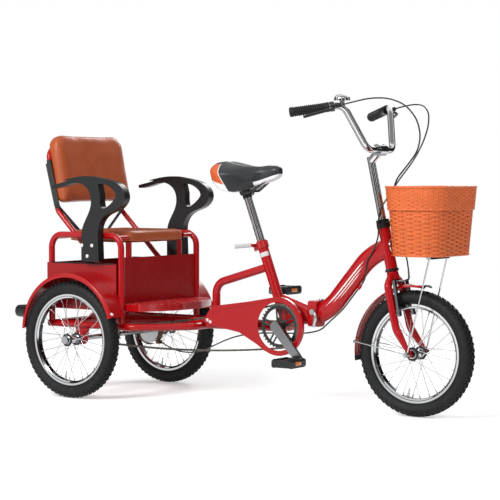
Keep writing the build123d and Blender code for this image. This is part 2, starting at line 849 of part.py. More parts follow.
with BuildPart() as chain_guard:
    with BuildSketch(upright(-guard_outer_y + guard_flange)):
        with BuildLine():
            Polyline(*guard_tail, close=True)
        make_face()
        with Locations((bb_x, bb_z)):
            Circle(guard_disc_r)
    extrude(amount=guard_flange)
    with BuildSketch(upright(-guard_outer_y + guard_flange)):
        with BuildLine():
            Polyline(*guard_tail, close=True)
        make_face()
        with Locations((bb_x, bb_z)):
            Circle(guard_disc_r)
        offset(amount=-guard_thick)
    extrude(amount=guard_flange - guard_thick, mode=Mode.SUBTRACT)
    with BuildSketch(upright(-guard_outer_y + guard_flange)):
        with Locations((bb_x, bb_z)):
            Circle(guard_hole_r)
    extrude(amount=guard_flange, mode=Mode.SUBTRACT)
    # the rim is kept along the top and the front, and open behind and below, where the chain runs out
    with BuildSketch(upright(-guard_outer_y + guard_flange)):
        with BuildLine():
            Polyline(
                (fore(395.0), 298.0),
                (fore(440.0), 298.0),
                (bb_x, bb_z),
                (bb_x, 150.0),
                (fore(395.0), 150.0),
                close=True,
            )
        make_face()
    extrude(amount=guard_flange - guard_thick, mode=Mode.SUBTRACT)
    # a tab carries the rear end on the spine
    with BuildSketch(upright(-spine_r)):
        with Locations((fore(432.0), 262.0)):
            Rectangle(22.0, 10.0)
    extrude(amount=guard_outer_y - guard_thick - spine_r)

chain_guard.part.label = "chain_guard"
export_step(chain_guard.part, "parts/chain_guard.step")

# ---------------------------------------------------------------- chainring on its spindle
ring_outer_r = ring_pitch_r + tooth_height
ring_root_r = ring_pitch_r - 3.9

with BuildPart() as chainring:
    with BuildSketch(upright(chain_y + ring_thick / 2)):
        with Locations((bb_x, bb_z)):
            Circle(ring_root_r + 1.5)
            Circle(ring_root_r - 9, mode=Mode.SUBTRACT)
        with Locations((bb_x, bb_z)):
            with PolarLocations(ring_root_r + 2.5, ring_teeth):
                Rectangle(6.4, 5.2)
        with Locations((bb_x, bb_z)):
            Circle(24.0)
        with Locations((bb_x, bb_z)):
            with PolarLocations(42.0, 5, start_angle=crank_angle):
                Rectangle(46.0, 20.0)
            with PolarLocations(45.0, 5, start_angle=crank_angle):
                SlotOverall(32.0, 9.0, mode=Mode.SUBTRACT)
            Circle(bb_spindle_r + weld_gap, mode=Mode.SUBTRACT)
    extrude(amount=ring_thick)

chainring.part.label = "chainring"
export_step(chainring.part, "parts/chainring.step")

# ---------------------------------------------------------------- cranks
crank_end = Vector(
    bb_x + crank_length * cos(radians(crank_angle)), bb_z + crank_length * sin(radians(crank_angle))
)
crank_rear_end = Vector(2 * bb_x - crank_end.X, 2 * bb_z - crank_end.Y)
pedal_inner_y = pedal_y - pedal_length / 2
crank_outer_y = crank_inner_y + crank_thick

with BuildPart() as cranks:
    with BuildSketch(upright(crank_outer_y)):
        with Locations((bb_x, bb_z)):
            Circle(bb_spindle_r)
    extrude(amount=2 * crank_outer_y)
    for side, eye in ((-1, crank_end), (1, crank_rear_end)):
        with BuildSketch(upright(side * crank_inner_y)):
            with Locations((bb_x, bb_z)):
                Circle(crank_boss_r)
            with Locations((eye.X, eye.Y)):
                Circle(crank_eye_r)
            make_hull()
        extrude(amount=-side * crank_thick)
        with BuildSketch(upright(side * crank_inner_y)):
            with Locations((eye.X, eye.Y)):
                Circle(pedal_axle_r)
        extrude(amount=-side * (pedal_y + pedal_length / 2 - 4 - crank_inner_y))
    # the boss that carries the chainring
    with BuildSketch(upright(chain_y - ring_thick / 2 - weld_gap)):
        with Locations((bb_x, bb_z)):
            Circle(crank_boss_r)
    extrude(amount=crank_inner_y + chain_y - ring_thick / 2 - weld_gap)

cranks.part.label = "cranks"
export_step(cranks.part, "parts/cranks.step")

for name, side, eye in (("pedal_right", -1, crank_end), ("pedal_left", 1, crank_rear_end)):
    with BuildPart() as pedal:
        with BuildSketch(upright(side * pedal_inner_y)):
            with Locations((eye.X, eye.Y)):
                RectangleRounded(pedal_reach, pedal_thick, 5.0)
        extrude(amount=-side * pedal_length)
        # grooves across the treads, and a seat for a reflector in each long side
        for face in (-1, 1):
            with BuildSketch(Plane.XY.offset(eye.Y + face * pedal_thick / 2)):
                with Locations((eye.X, side * pedal_y)):
                    with GridLocations(0, pedal_groove_pitch, 1, 8):
                        Rectangle(pedal_reach, pedal_groove_width)
            extrude(amount=-face * pedal_groove_depth, mode=Mode.SUBTRACT)
            with BuildSketch(Plane.YZ.offset(eye.X + face * pedal_reach / 2)):
                with Locations((side * pedal_y, eye.Y)):
                    Rectangle(reflector_length, reflector_height)
            extrude(amount=-face * pedal_groove_depth, mode=Mode.SUBTRACT)
        # the cage is open on both sides of the axle's barrel
        with BuildSketch(Plane.XY.offset(eye.Y - pedal_thick)):
            for reach in (-1, 1):
                with Locations((eye.X + reach * (pedal_reach / 4 + 1), side * pedal_y)):
                    Rectangle(pedal_reach / 2 - 17, pedal_length - 20)
        extrude(amount=2 * pedal_thick, mode=Mode.SUBTRACT)
        with BuildSketch(upright(side * pedal_inner_y)):
            with Locations((eye.X, eye.Y)):
                Circle(pedal_axle_r + running_fit)
        extrude(amount=-side * (pedal_length - 3), mode=Mode.SUBTRACT)
    pedal.part.label = name
    export_step(pedal.part, f"parts/{name}.step")

# ================================================================ saddle and post
saddle_clamp = bb + seat_up * ((saddle_clamp_z - bb_z) / seat_up.Z)
post_bottom = seat_top - seat_up * post_insert

with BuildPart() as seat_post:
    with BuildSketch(Plane(origin=post_bottom, z_dir=seat_up)):
        Circle(post_r)
    extrude(amount=(saddle_clamp - post_bottom).length)

seat_post.part.label = "seat_post"
export_step(seat_post.part, "parts/seat_post.step")

saddle_rear_x = fore(440.0)
saddle_nose_x = fore(693.0)
saddle_half_width = 100.0
saddle_base_z = 728.0

with BuildPart() as saddle:
    # cross-sections from the rear edge to the nose: X, half width, and the heights of foot, shoulder and crown
    for station, half_width, foot, shoulder, crown in (
        (saddle_rear_x, 62.0, 766.0, 784.0, 800.0),
        (saddle_rear_x + 30, 96.0, 738.0, 778.0, 818.0),
        (saddle_rear_x + 85, saddle_half_width, 714.0, 770.0, 808.0),
        (saddle_rear_x + 140, 62.0, 727.0, 774.0, 801.0),
        (saddle_rear_x + 195, 30.0, 748.0, 782.0, 802.0),
        (saddle_nose_x - 12, 22.0, 762.0, 788.0, 805.0),
        (saddle_nose_x, 12.0, 772.0, 787.0, 799.0),
    ):
        with BuildSketch(Plane.YZ.offset(station)):
            with BuildLine():
                EllipticalCenterArc((0, shoulder), half_width, crown - shoulder, start_angle=0, arc_size=180)
                Polyline(
                    (-half_width, shoulder),
                    (-half_width * 0.88, foot),
                    (half_width * 0.88, foot),
                    (half_width, shoulder),
                )
            make_face()
    loft()

saddle.part.label = "saddle"
export_step(saddle.part, "parts/saddle.step")

with BuildPart() as saddle_frame:
    with BuildSketch(Plane(origin=saddle_clamp + seat_up * weld_gap, z_dir=seat_up)):
        Circle(16.0)
    extrude(amount=20.0)
    with BuildSketch(upright(26.0)):
        with Locations((saddle_clamp.X - 4, saddle_clamp_z + 22)):
            Circle(14.0)
    extrude(amount=52.0)
    for side in (-1, 1):
        with BuildLine() as wire:
            wire_line = FilletPolyline(
                (saddle_rear_x + 30, side * 22.0, saddle_clamp_z + 54),
                (saddle_rear_x + 60, side * 22.0, saddle_clamp_z + 24),
                (saddle_rear_x + 145, side * 22.0, saddle_clamp_z + 24),
                (saddle_nose_x - 35, side * 12.0, saddle_clamp_z + 74),
                radius=14.0,
            )
        with BuildSketch(Plane(origin=wire_line @ 0, z_dir=wire_line % 0)):
            Circle(3.5)
        sweep(path=wire_line)
    add(saddle.part, mode=Mode.SUBTRACT)

saddle_frame.part.label = "saddle_frame"
export_step(saddle_frame.part, "parts/saddle_frame.step")

# ================================================================ front frame
main_tube_points = (
    (hinge_x + hinge_plate - 2, 0, 312.0),
    (fore(893.0), 0, 339.0),
    (fore(1035.0), 0, 507.0),
    (on_steering_axis(537.0).X, 0, 537.0),
)

cable_drop = main_tube_half_height + cable_r + cable_clearance

with BuildPart() as front_frame:
    with BuildLine() as main_path:
        main_line = FilletPolyline(*main_tube_points, radius=190.0)
    with BuildSketch(Plane(origin=main_line @ 0, x_dir=(0, 1, 0), z_dir=main_line % 0)):
        Ellipse(main_tube_half_width, main_tube_half_height)
    sweep(path=main_line)
    split(bisect_by=Plane.YZ.offset(hinge_x + hinge_split / 2 + hinge_plate / 2), keep=Keep.TOP)
    with BuildSketch(Plane.YZ.offset(hinge_x + hinge_split / 2)):
        with Locations((0, hinge_z)):
            RectangleRounded(2 * hinge_half_width, hinge_height, 12.0)
    extrude(amount=hinge_plate)
    with BuildSketch(Plane.XY.offset(hinge_bottom_z + knuckle_third)):
        with Locations((hinge_x, knuckle_y)):
            Circle(knuckle_r)
        with Locations((hinge_x + knuckle_r, knuckle_y - knuckle_r / 2)):
            Rectangle(2 * knuckle_r, knuckle_r)
    extrude(amount=hinge_height - 2 * knuckle_third)
    with BuildSketch(Plane(origin=along_steering_axis(head_low), z_dir=steer)):
        Circle(head_tube_r)
    extrude(amount=head_high - head_low)
    # the stop that holds the rear cable under the main tube
    stop_along = (Vector(*main_tube_points[2]) - Vector(*main_tube_points[1])).normalized()
    stop_start = Vector(*main_tube_points[1]) + stop_along * 112 + Vector(stop_along.Z, 0, -stop_along.X) * cable_drop
    with BuildSketch(Plane(origin=stop_start, z_dir=stop_along)):
        Circle(cable_stop_r)
    extrude(amount=14.0)
    with BuildSketch(Plane(origin=stop_start - stop_along, z_dir=stop_along)):
        Circle(cable_r + weld_gap)
    extrude(amount=16.0, mode=Mode.SUBTRACT)
    # room for the two rear knuckles, and the bores
    for bottom_z in (hinge_bottom_z, hinge_top_z - knuckle_third - knuckle_room):
        with BuildSketch(Plane.XY.offset(bottom_z)):
            with Locations((hinge_x, knuckle_y)):
                Circle(knuckle_r + knuckle_room)
        extrude(amount=knuckle_third + knuckle_room, mode=Mode.SUBTRACT)
    with BuildSketch(Plane.XY.offset(hinge_bottom_z)):
        with Locations((hinge_x, knuckle_y)):
            Circle(hinge_pin_r + running_fit)
    extrude(amount=hinge_height, mode=Mode.SUBTRACT)
    with BuildSketch(Plane(origin=along_steering_axis(0), z_dir=steer)):
        Circle(steerer_r + 3)
    extrude(amount=head_high + 10, mode=Mode.SUBTRACT)

front_frame.part.label = "front_frame"
export_step(front_frame.part, "parts/front_frame.step")

with BuildPart() as hinge_pin:
    with BuildSketch(Plane.XY.offset(hinge_bottom_z - 2)):
        with Locations((hinge_x, knuckle_y)):
            Circle(hinge_pin_r)
    extrude(amount=hinge_height + 4)
    with BuildSketch(Plane.XY.offset(hinge_top_z + weld_gap)):
        with Locations((hinge_x, knuckle_y)):
            Circle(hinge_pin_r + 4)
    extrude(amount=4.0)
    fillet(hinge_pin.faces().sort_by(Axis.Z)[-1].edges(), radius=3.0)

hinge_pin.part.label = "hinge_pin"
export_step(hinge_pin.part, "parts/hinge_pin.step")

with BuildPart() as hinge_lever:
    lever_x = hinge_x + hinge_split / 2 + hinge_plate / 2
    with BuildSketch(upright(-hinge_half_width - weld_gap)):
        with Locations((lever_x, hinge_z + 8)):
            Circle(9.0)
    extrude(amount=15.0)
    with BuildLine() as hinge_lever_path:
        hinge_lever_line = FilletPolyline(
            (lever_x, -hinge_half_width - 10, hinge_z + 14),
            (lever_x + 14, -hinge_half_width - 12, hinge_z - 8),
            (lever_x + 4, -hinge_half_width - 11, hinge_z - 42),
            radius=16.0,
        )
    with BuildSketch(Plane(origin=hinge_lever_line @ 0, x_dir=(0, 1, 0), z_dir=hinge_lever_line % 0)):
        Ellipse(3.5, 6.0)
    sweep(path=hinge_lever_line)

hinge_lever.part.label = "hinge_lever"
export_step(hinge_lever.part, "parts/hinge_lever.step")

with BuildPart() as headset:
    for start, height in ((head_low - weld_gap, -cup_low), (head_high + weld_gap, cup_high)):
        with BuildSketch(Plane(origin=along_steering_axis(start), z_dir=steer)):
            Circle(cup_r)
            Circle(steerer_r + running_fit, mode=Mode.SUBTRACT)
        extrude(amount=height)

headset.part.label = "headset"
export_step(headset.part, "parts/headset.step")

# ================================================================ steered group
front_axle_x = fore(wheelbase)
front_axle_z = tyre_r
crown_top = head_low - cup_low - 2 * weld_gap
crown_height = 26.0
steerer_top = head_high + cup_high + locknut_height

with BuildPart() as fork:
    with BuildSketch(Plane(origin=along_steering_axis(crown_top), z_dir=steer)):
        Circle(steerer_r)
    extrude(amount=steerer_top - crown_top)
    with BuildSketch(Plane(origin=along_steering_axis(crown_top), z_dir=-steer)):
        Circle(18.0)
    extrude(amount=crown_height, taper=-8.0)
    for side in (-1, 1):
        top = along_steering_axis(crown_top - 12) + Vector(0, side * 8.0, 0)
        shoulder = along_steering_axis(crown_top - 44) + Vector(0, side * blade_y, 0)
        bend = along_steering_axis(crown_top - 185) + Vector(0, side * blade_y, 0)
        tip = Vector(front_axle_x - 3, side * dropout_y, front_axle_z + 12)
        taper_start = bend + (tip - bend) * blade_straight_share
        with BuildLine() as blade_path:
            blade_line = FilletPolyline(top, shoulder, bend, taper_start, radius=(24.0, 60.0))
        with BuildSketch(Plane(origin=blade_line @ 0, z_dir=blade_line % 0)):
            Circle(blade_r)
        sweep(path=blade_line)
        with BuildSketch(square_to(taper_start, tip)):
            Circle(blade_r)
        with BuildSketch(square_to(tip, tip * 2 - taper_start)):
            Circle(blade_tip_r)
        loft()
        # flattened end that holds the axle
        with BuildSketch(upright(side * (dropout_y - dropout_thick / 2))):
            with Locations((front_axle_x, front_axle_z)):
                Circle(11.0)
            with Locations((front_axle_x - 3, front_axle_z + 14)):
                Circle(blade_tip_r)
            make_hull()
        extrude(amount=-side * dropout_thick)
    with BuildSketch(upright(0)):
        with Locations((front_axle_x, front_axle_z)):
            Circle(front_axle_r + weld_gap)
    extrude(amount=dropout_y + dropout_thick, both=True, mode=Mode.SUBTRACT)

fork.part.label = "fork"
export_step(fork.part, "parts/fork.step")



def basket_rear(z):
    """X of the basket's rear wall at this height."""
    rise = (z - basket_bottom_z) / (basket_top_z - basket_bottom_z)
    return basket_x - basket_bottom_half[0] - (basket_top_half[0] - basket_bottom_half[0]) * rise


with BuildPart() as locknut:
    with BuildSketch(Plane(origin=along_steering_axis(head_high + cup_high + 2 * weld_gap), z_dir=steer)):
        RegularPolygon(cup_r, 8)
        Circle(steerer_r + weld_gap, mode=Mode.SUBTRACT)
    extrude(amount=locknut_height - 2 * weld_gap)
    # the bracket that it clamps, up to the basket's rear wall
    tongue = along_steering_axis(head_high + cup_high + 3 * weld_gap) + steer * bracket_thick / 2
    knee_z = (tongue + ahead_of_axis * (basket_rear(tongue.Z) - tongue.X)).Z
    with BuildSketch(upright(bracket_width / 2)):
        with BuildLine():
            FilletPolyline(
                ((tongue + ahead_of_axis * (cup_r - 5)).X, (tongue + ahead_of_axis * (cup_r - 5)).Z),
                (basket_rear(knee_z) - seat_gap - bracket_thick / 2, knee_z),
                (basket_rear(bracket_top_z) - seat_gap - bracket_thick / 2, bracket_top_z),
                radius=6.0,
            )
        trace(line_width=bracket_thick)
    extrude(amount=bracket_width)

locknut.part.label = "locknut"
export_step(locknut.part, "parts/locknut.step")

# ---------------------------------------------------------------- front rim brake
brake_pivot_down = 140.0
brake_arm_forward = 19.0
brake_arm_length = 104.0
brake_arm_thick = 8.0
pad_up = 19.0
pad_gap = 2.0

with BuildPart() as front_brake:
    for side in (-1, 1):
        pivot = along_steering_axis(crown_top - brake_pivot_down) + Vector(0, side * blade_y, 0)
        arm_plane = Plane(origin=pivot + ahead_of_axis * brake_arm_forward, x_dir=(0, 1, 0), z_dir=ahead_of_axis)
        with BuildSketch(arm_plane):
            Circle(8.0)
            with Locations((side * -5.0, brake_arm_length)):
                Circle(5.0)
            make_hull()
        extrude(amount=brake_arm_thick)
        # the stud that the arm turns on
        with BuildSketch(arm_plane):
            Circle(4.5)
        extrude(amount=-brake_arm_forward)
        # the shoe on its own stud, pointing at the rim
        shoe = pivot + ahead_of_axis * (brake_arm_forward + brake_arm_thick / 2) + steer * pad_up
        with BuildSketch(Plane(origin=shoe, x_dir=steer, z_dir=(0, -side, 0))):
            Circle(3.0)
        extrude(amount=blade_y - rim_half_width - pad_gap)
        with BuildSketch(
            Plane(
                origin=(shoe.X, side * (rim_half_width + pad_gap), shoe.Z),
                x_dir=(shoe.Z - front_axle_z, 0, front_axle_x - shoe.X),
                z_dir=(0, side, 0),
            )
        ):
            RectangleRounded(50.0, 10.0, 4.5)
        extrude(amount=9.0)
    # the link across the top, over the tyre
    link = along_steering_axis(crown_top - brake_pivot_down + brake_arm_length)
    link = link + ahead_of_axis * (brake_arm_forward + brake_arm_thick / 2)
    with BuildSketch(Plane(origin=(link.X, -blade_y + 5, link.Z), z_dir=(0, 1, 0))):
        Circle(3.0)
    extrude(amount=2 * (blade_y - 5))
    # the bent tube that leads the cable into the left arm
    with BuildLine() as noodle_path:
        noodle_line = FilletPolyline(
            (link.X, blade_y - 5, link.Z),
            (link.X, blade_y + 12, link.Z),
            (link.X, blade_y + 6, link.Z + 34),
            radius=12.0,
        )
    with BuildSketch(Plane(origin=noodle_line @ 0, z_dir=noodle_line % 0)):
        Circle(cable_r + 0.6)
    sweep(path=noodle_line)
    add(fork.part, mode=Mode.SUBTRACT)

front_brake.part.label = "front_brake"
export_step(front_brake.part, "parts/front_brake.step")

# each stay's eye lies outside the dropout, and the nut outside the eye
stay_eye_y = dropout_y + dropout_thick / 2 + weld_gap
stay_foot_y = dropout_y + blade_tip_r + stay_r + 0.5
stay_eye_thick = stay_foot_y + stay_r - stay_eye_y
nut_y = stay_eye_y + stay_eye_thick + weld_gap
nut_thick = 7.0

with BuildPart() as front_axle:
    with BuildSketch(upright(0)):
        with Locations((front_axle_x, front_axle_z)):
            Circle(front_axle_r)
    extrude(amount=nut_y + nut_thick + 3, both=True)
    for side in (-1, 1):
        with BuildSketch(upright(side * nut_y)):
            with Locations((front_axle_x, front_axle_z)):
                RegularPolygon(9.0, 6)
        extrude(amount=-side * nut_thick)

front_axle.part.label = "front_axle"
export_step(front_axle.part, "parts/front_axle.step")

# ---------------------------------------------------------------- stem and handlebar
stem_bottom = along_steering_axis(steerer_top + weld_gap)
stem_knee = on_steering_axis(clamp_z - 22)
bar_clamp = Vector(clamp_x, 0, clamp_z)

with BuildPart() as stem:
    with BuildSketch(Plane(origin=stem_bottom, z_dir=steer)):
        Circle(stem_r)
    extrude(amount=(stem_knee - stem_bottom).length)
    with BuildSketch(Plane(origin=stem_knee - steer * 14, z_dir=(bar_clamp - stem_knee + steer * 14).normalized())):
        Circle(stem_r + 1)
    extrude(amount=(bar_clamp - stem_knee + steer * 14).length)
    with BuildSketch(upright(22.0)):
        with Locations((clamp_x, clamp_z)):
            Circle(bar_r + 8)
    extrude(amount=44.0)
    with BuildSketch(upright(22.0)):
        with Locations((clamp_x, clamp_z)):
            Circle(bar_r + weld_gap)
    extrude(amount=44.0, mode=Mode.SUBTRACT)

stem.part.label = "stem"
export_step(stem.part, "parts/stem.step")


def mirrored(point):
    """The same point on the other side."""
    return (point[0], -point[1], point[2])


bar_points = (
    mirrored(bar_end),
    mirrored(bar_knee),
    (clamp_x, -bar_lower_half, clamp_z),
    (clamp_x, bar_lower_half, clamp_z),
    bar_knee,
    bar_end,
)

with BuildPart() as handlebar:
    with BuildLine() as bar_path:
        bar_line = FilletPolyline(*bar_points, radius=bar_bend_r)
    with BuildSketch(Plane(origin=bar_line @ 0, z_dir=bar_line % 0)):
        Circle(bar_r)
    sweep(path=bar_line)

handlebar.part.label = "handlebar"
export_step(handlebar.part, "parts/handlebar.step")

with BuildPart() as grips:
    for side in (-1, 1):
        outer_end = Vector(bar_end[0], side * bar_end[1], bar_end[2])
        knee = Vector(bar_knee[0], side * bar_knee[1], bar_knee[2])
        inward = (knee - outer_end).normalized()
        with BuildSketch(Plane(origin=outer_end - inward * 4, z_dir=inward)):
            Circle(grip_r)
        extrude(amount=grip_length)
        with BuildSketch(Plane(origin=outer_end - inward * weld_gap, z_dir=inward)):
            Circle(bar_r + weld_gap)
        extrude(amount=grip_length, mode=Mode.SUBTRACT)

grips.part.label = "grips"
export_step(grips.part, "parts/grips.step")

lever_barrel_length = 32.0
lever_mouths = []

with BuildPart() as brake_levers:
    for side in (-1, 1):
        outer_end = Vector(bar_end[0], side * bar_end[1], bar_end[2])
        knee = Vector(bar_knee[0], side * bar_knee[1], bar_knee[2])
        inward = (knee - outer_end).normalized()
        ahead = Vector(0, 0, 1).cross(inward) * side
        ahead = Vector(ahead.X, ahead.Y, 0).normalized()
        perch = outer_end + inward * (grip_length - 4 + 2)
        with BuildSketch(Plane(origin=perch, z_dir=inward)):
            Circle(bar_r + 5)
            Circle(bar_r + weld_gap, mode=Mode.SUBTRACT)
        extrude(amount=14.0)
        root = perch + inward * 7 + ahead * (bar_r + 9)
        with BuildSketch(Plane(origin=root - inward * 7, z_dir=inward)):
            Circle(7.0)
        extrude(amount=lever_barrel_length)
        with BuildLine() as blade_route:
            blade_wire = FilletPolyline(
                root - Vector(0, 0, 2),
                root + ahead * 24 - inward * 8 - Vector(0, 0, 10),
                root + ahead * 30 - inward * 95 - Vector(0, 0, 22),
                radius=12.0,
            )
        with BuildSketch(Plane(origin=blade_wire @ 0, z_dir=blade_wire % 0)):
            Circle(4.5)
        sweep(path=blade_wire)
        lever_mouths.append(root + inward * (lever_barrel_length - 7 + cable_end_gap))

brake_levers.part.label = "brake_levers"
export_step(brake_levers.part, "parts/brake_levers.step")

# ---------------------------------------------------------------- bell on the right side of the bar
bell_r = 26.0
bell_height = 20.0
bell_rise = 21.0
bell_post_r = 8.0
right_bend = (bar_path.edges().filter_by(GeomType.CIRCLE).sort_by(Axis.Y)[0]) @ 0.5
bell_base_z = right_bend.Z + bell_rise

with BuildPart() as bell:
    with BuildSketch(Plane.XY.offset(bell_base_z)):
        with Locations((right_bend.X, right_bend.Y)):
            Circle(bell_post_r)
    extrude(amount=right_bend.Z - bell_base_z)
    add(handlebar.part, mode=Mode.SUBTRACT)
    with BuildSketch(Plane.XY.offset(bell_base_z)):
        with Locations((right_bend.X, right_bend.Y)):
            Circle(bell_r)
    extrude(amount=bell_height)
    fillet(bell.edges().group_by(Axis.Z)[-1], radius=bell_height - 3)

bell.part.label = "bell"
export_step(bell.part, "parts/bell.step")

# ---------------------------------------------------------------- basket
with BuildPart() as basket:
    for z, half, corner in (
        (basket_bottom_z, basket_bottom_half, basket_bottom_corner),
        (basket_top_z, basket_top_half, basket_top_corner),
    ):
        with BuildSketch(Plane.XY.offset(z)):
            with Locations((basket_x, 0)):
                RectangleRounded(2 * half[0], 2 * half[1], corner)
    loft(ruled=True)
    # the broad rim band
    with BuildSketch(Plane.XY.offset(basket_top_z - basket_band)):
        with Locations((basket_x, 0)):
            RectangleRounded(2 * basket_top_half[0] + 2, 2 * basket_top_half[1] + 2, basket_top_corner)
    with BuildSketch(Plane.XY.offset(basket_top_z)):
        with Locations((basket_x, 0)):
            RectangleRounded(
                2 * (basket_top_half[0] + basket_band_out),
                2 * (basket_top_half[1] + basket_band_out),
                basket_top_corner + basket_band_out,
            )
    loft(ruled=True)
    with BuildSketch(Plane.XY.offset(basket_bottom_z + basket_wall)):
        with Locations((basket_x, 0)):
            RectangleRounded(
                2 * (basket_bottom_half[0] - basket_wall),
                2 * (basket_bottom_half[1] - basket_wall),
                basket_bottom_corner - basket_wall,
            )
    with BuildSketch(Plane.XY.offset(basket_top_z)):
        with Locations((basket_x, 0)):
            RectangleRounded(
                2 * (basket_top_half[0] - basket_wall),
                2 * (basket_top_half[1] - basket_wall),
                basket_top_corner - basket_wall,
            )
    loft(ruled=True, mode=Mode.SUBTRACT)

basket.part.label = "basket"
export_step(basket.part, "parts/basket.step")

with BuildPart() as basket_stays:
    for side in (-1, 1):
        foot = Vector(front_axle_x, side * stay_foot_y, front_axle_z)
        head = Vector(stay_top_x, side * stay_y, basket_bottom_z - 8)
        with BuildSketch(upright(side * stay_eye_y)):
            with Locations((front_axle_x, front_axle_z)):
                Circle(8.5)
        extrude(amount=-side * stay_eye_thick)
        with BuildSketch(square_to(foot, head)):
            Circle(stay_r)
        extrude(amount=(head - foot).length)
        # the thinner wire to the mudguard's rear end, with its eye
        wire_foot = Vector(front_axle_x, side * stay_foot_y, front_axle_z)
        wire_reach = front_guard_r - front_guard_drop
        wire_end_y = front_guard_half_width + front_guard_thick + guard_wire_r + seat_gap
        wire_end = Vector(
            front_axle_x + wire_reach * cos(radians(guard_wire_angle)),
            side * wire_end_y,
            front_axle_z + wire_reach * sin(radians(guard_wire_angle)),
        )
        with BuildSketch(square_to(wire_foot, wire_end)):
            Circle(guard_wire_r)
        extrude(amount=(wire_end - wire_foot).length)
        with BuildSketch(upright(side * (wire_end_y - guard_wire_r))):
            with Locations((wire_end.X, wire_end.Z)):
                Circle(5.0)
        extrude(amount=-side * 2 * guard_wire_r)
    with BuildSketch(Plane.XY.offset(basket_bottom_z - seat_gap)):
        with Locations((stay_top_x, 0)):
            Rectangle(16.0, 2 * stay_y + 10)
    extrude(amount=-9.0)
    with BuildSketch(upright(0)):
        with Locations((front_axle_x, front_axle_z)):
            Circle(front_axle_r + weld_gap)
    extrude(amount=nut_y, both=True, mode=Mode.SUBTRACT)

basket_stays.part.label = "basket_stays"
export_step(basket_stays.part, "parts/basket_stays.step")

# ---------------------------------------------------------------- front mudguard
front_guard_axis = Axis((front_axle_x, 0, front_axle_z), (0, -1, 0))


def front_guard_plane(angle):
    """A plane through the front axle: sketch X is Y and sketch Y is the radius at this angle."""
    outward = Vector(cos(radians(angle)), 0, sin(radians(angle)))
    return Plane(origin=(front_axle_x, 0, front_axle_z), x_dir=(0, 1, 0), z_dir=Vector(0, 1, 0).cross(outward))


with BuildPart() as front_mudguard:
    with BuildSketch(front_guard_plane(front_tip_end + trim_gap_angle)):
        with BuildLine():
            ThreePointArc(
                (-front_guard_half_width, front_guard_r - front_guard_drop),
                (0, front_guard_r),
                (front_guard_half_width, front_guard_r - front_guard_drop),
            )
        trace(line_width=front_guard_thick)
    revolve(axis=front_guard_axis, revolution_arc=front_guard_end - front_tip_end - trim_gap_angle)
    # the bracket under the fork's crown
    bracket_top = along_steering_axis(crown_top - crown_height - weld_gap)
    with BuildSketch(Plane(origin=bracket_top, z_dir=-steer)):
        Circle(7.0)
    extrude(amount=32.0)
    with BuildSketch(upright(0)):
        with Locations((front_axle_x, front_axle_z)):
            Circle(front_guard_r - front_guard_thick / 2)
    extrude(amount=10.0, both=True, mode=Mode.SUBTRACT)
    add(fork.part, mode=Mode.SUBTRACT)

front_mudguard.part.label = "front_mudguard"
export_step(front_mudguard.part, "parts/front_mudguard.step")

with BuildPart() as front_guard_trim:
    # the moulded tip at the front and the rubber flap at the rear
    for start, end in ((front_guard_start, front_tip_end), (front_guard_end + trim_gap_angle, flap_end)):
        with BuildSketch(front_guard_plane(start)):
            with BuildLine():
                ThreePointArc(
                    (-front_guard_half_width, front_guard_r - front_guard_drop),
                    (0, front_guard_r),
                    (front_guard_half_width, front_guard_r - front_guard_drop),
                )
            trace(line_width=front_guard_thick + 1)
        revolve(axis=front_guard_axis, revolution_arc=end - start)

front_guard_trim.part.label = "front_guard_trim"
export_step(front_guard_trim.part, "parts/front_guard_trim.step")

# ---------------------------------------------------------------- brake cables, each held along its whole way
tube_start = Vector(*main_tube_points[1])
tube_along = (Vector(*main_tube_points[2]) - tube_start).normalized()
tube_under = Vector(tube_along.Z, 0, -tube_along.X)


def bend_radii(points):
    """The largest arc that each corner's two runs allow."""
    radii = []
    for before, corner, after in zip(points, points[1:], points[2:]):
        arriving = Vector(*corner) - Vector(*before)
        leaving = Vector(*after) - Vector(*corner)
        turn = radians(arriving.get_angle(leaving))
        radii.append(0.45 * min(arriving.length, leaving.length) / tan(turn / 2))
    return radii


def beside_tube(distance, angle):
    """A point beside the main tube: how far up from its lower bend, and the angle from its right side to below."""
    reach = main_tube_half_width + cable_r + cable_clearance
    spot = tube_start + tube_along * distance + tube_under * cable_drop * sin(radians(angle))
    return (spot.X, -reach * cos(radians(angle)), spot.Z)


right_lever_mouth, left_lever_mouth = lever_mouths
steering_pass = on_steering_axis(620.0) + Vector(0, -31, 0)
noodle_top = (link.X, blade_y + 6, link.Z + 34 + weld_gap)
front_cable = (
    right_lever_mouth,
    (fore(1069), -158, 1001),
    (fore(1120), -142, 1012),
    (fore(1166), -108, 1012),
    (fore(1205), -72, 992),
    (fore(1232), -46, 948),
    (fore(1238), -31, 896),
    (fore(1224), -25, 846),
    (fore(1186), -26, 800),
    (fore(1145), -25, 756),
    (fore(1131), -24, 700),
    (fore(1130), -23, 640),
    (fore(1131), -4, 588),
    (fore(1138), 22, 548),
    (fore(1147), 44, 508),
    noodle_top,
)
rear_cable_upper = (
    left_lever_mouth,
    (fore(1066), 158, 997),
    (fore(1116), 147, 1003),
    (fore(1162), 126, 998),
    (fore(1195), 101, 972),
    (fore(1206), 78, 928),
    (fore(1200), 52, 872),
    (fore(1176), 31, 814),
    (fore(1140), 10, 760),
    (fore(1117), -14, 710),
    (fore(1093), -30, 666),
    (steering_pass.X, steering_pass.Y, steering_pass.Z + cable_joint_gap),
)
rear_cable_middle = (
    (steering_pass.X, steering_pass.Y, steering_pass.Z - cable_joint_gap),
    (fore(1086), -30, 576),
    beside_tube(252, 14),
    beside_tube(214, 16),
    beside_tube(182, 46),
    beside_tube(158, 74),
    beside_tube(138, 90),
    beside_tube(76, 90),
    beside_tube(20, 92),
    (fore(884), -3, 288),
    (fore(854), 3, 264),
    (hinge_x + cable_joint_gap, 9, 254),
)
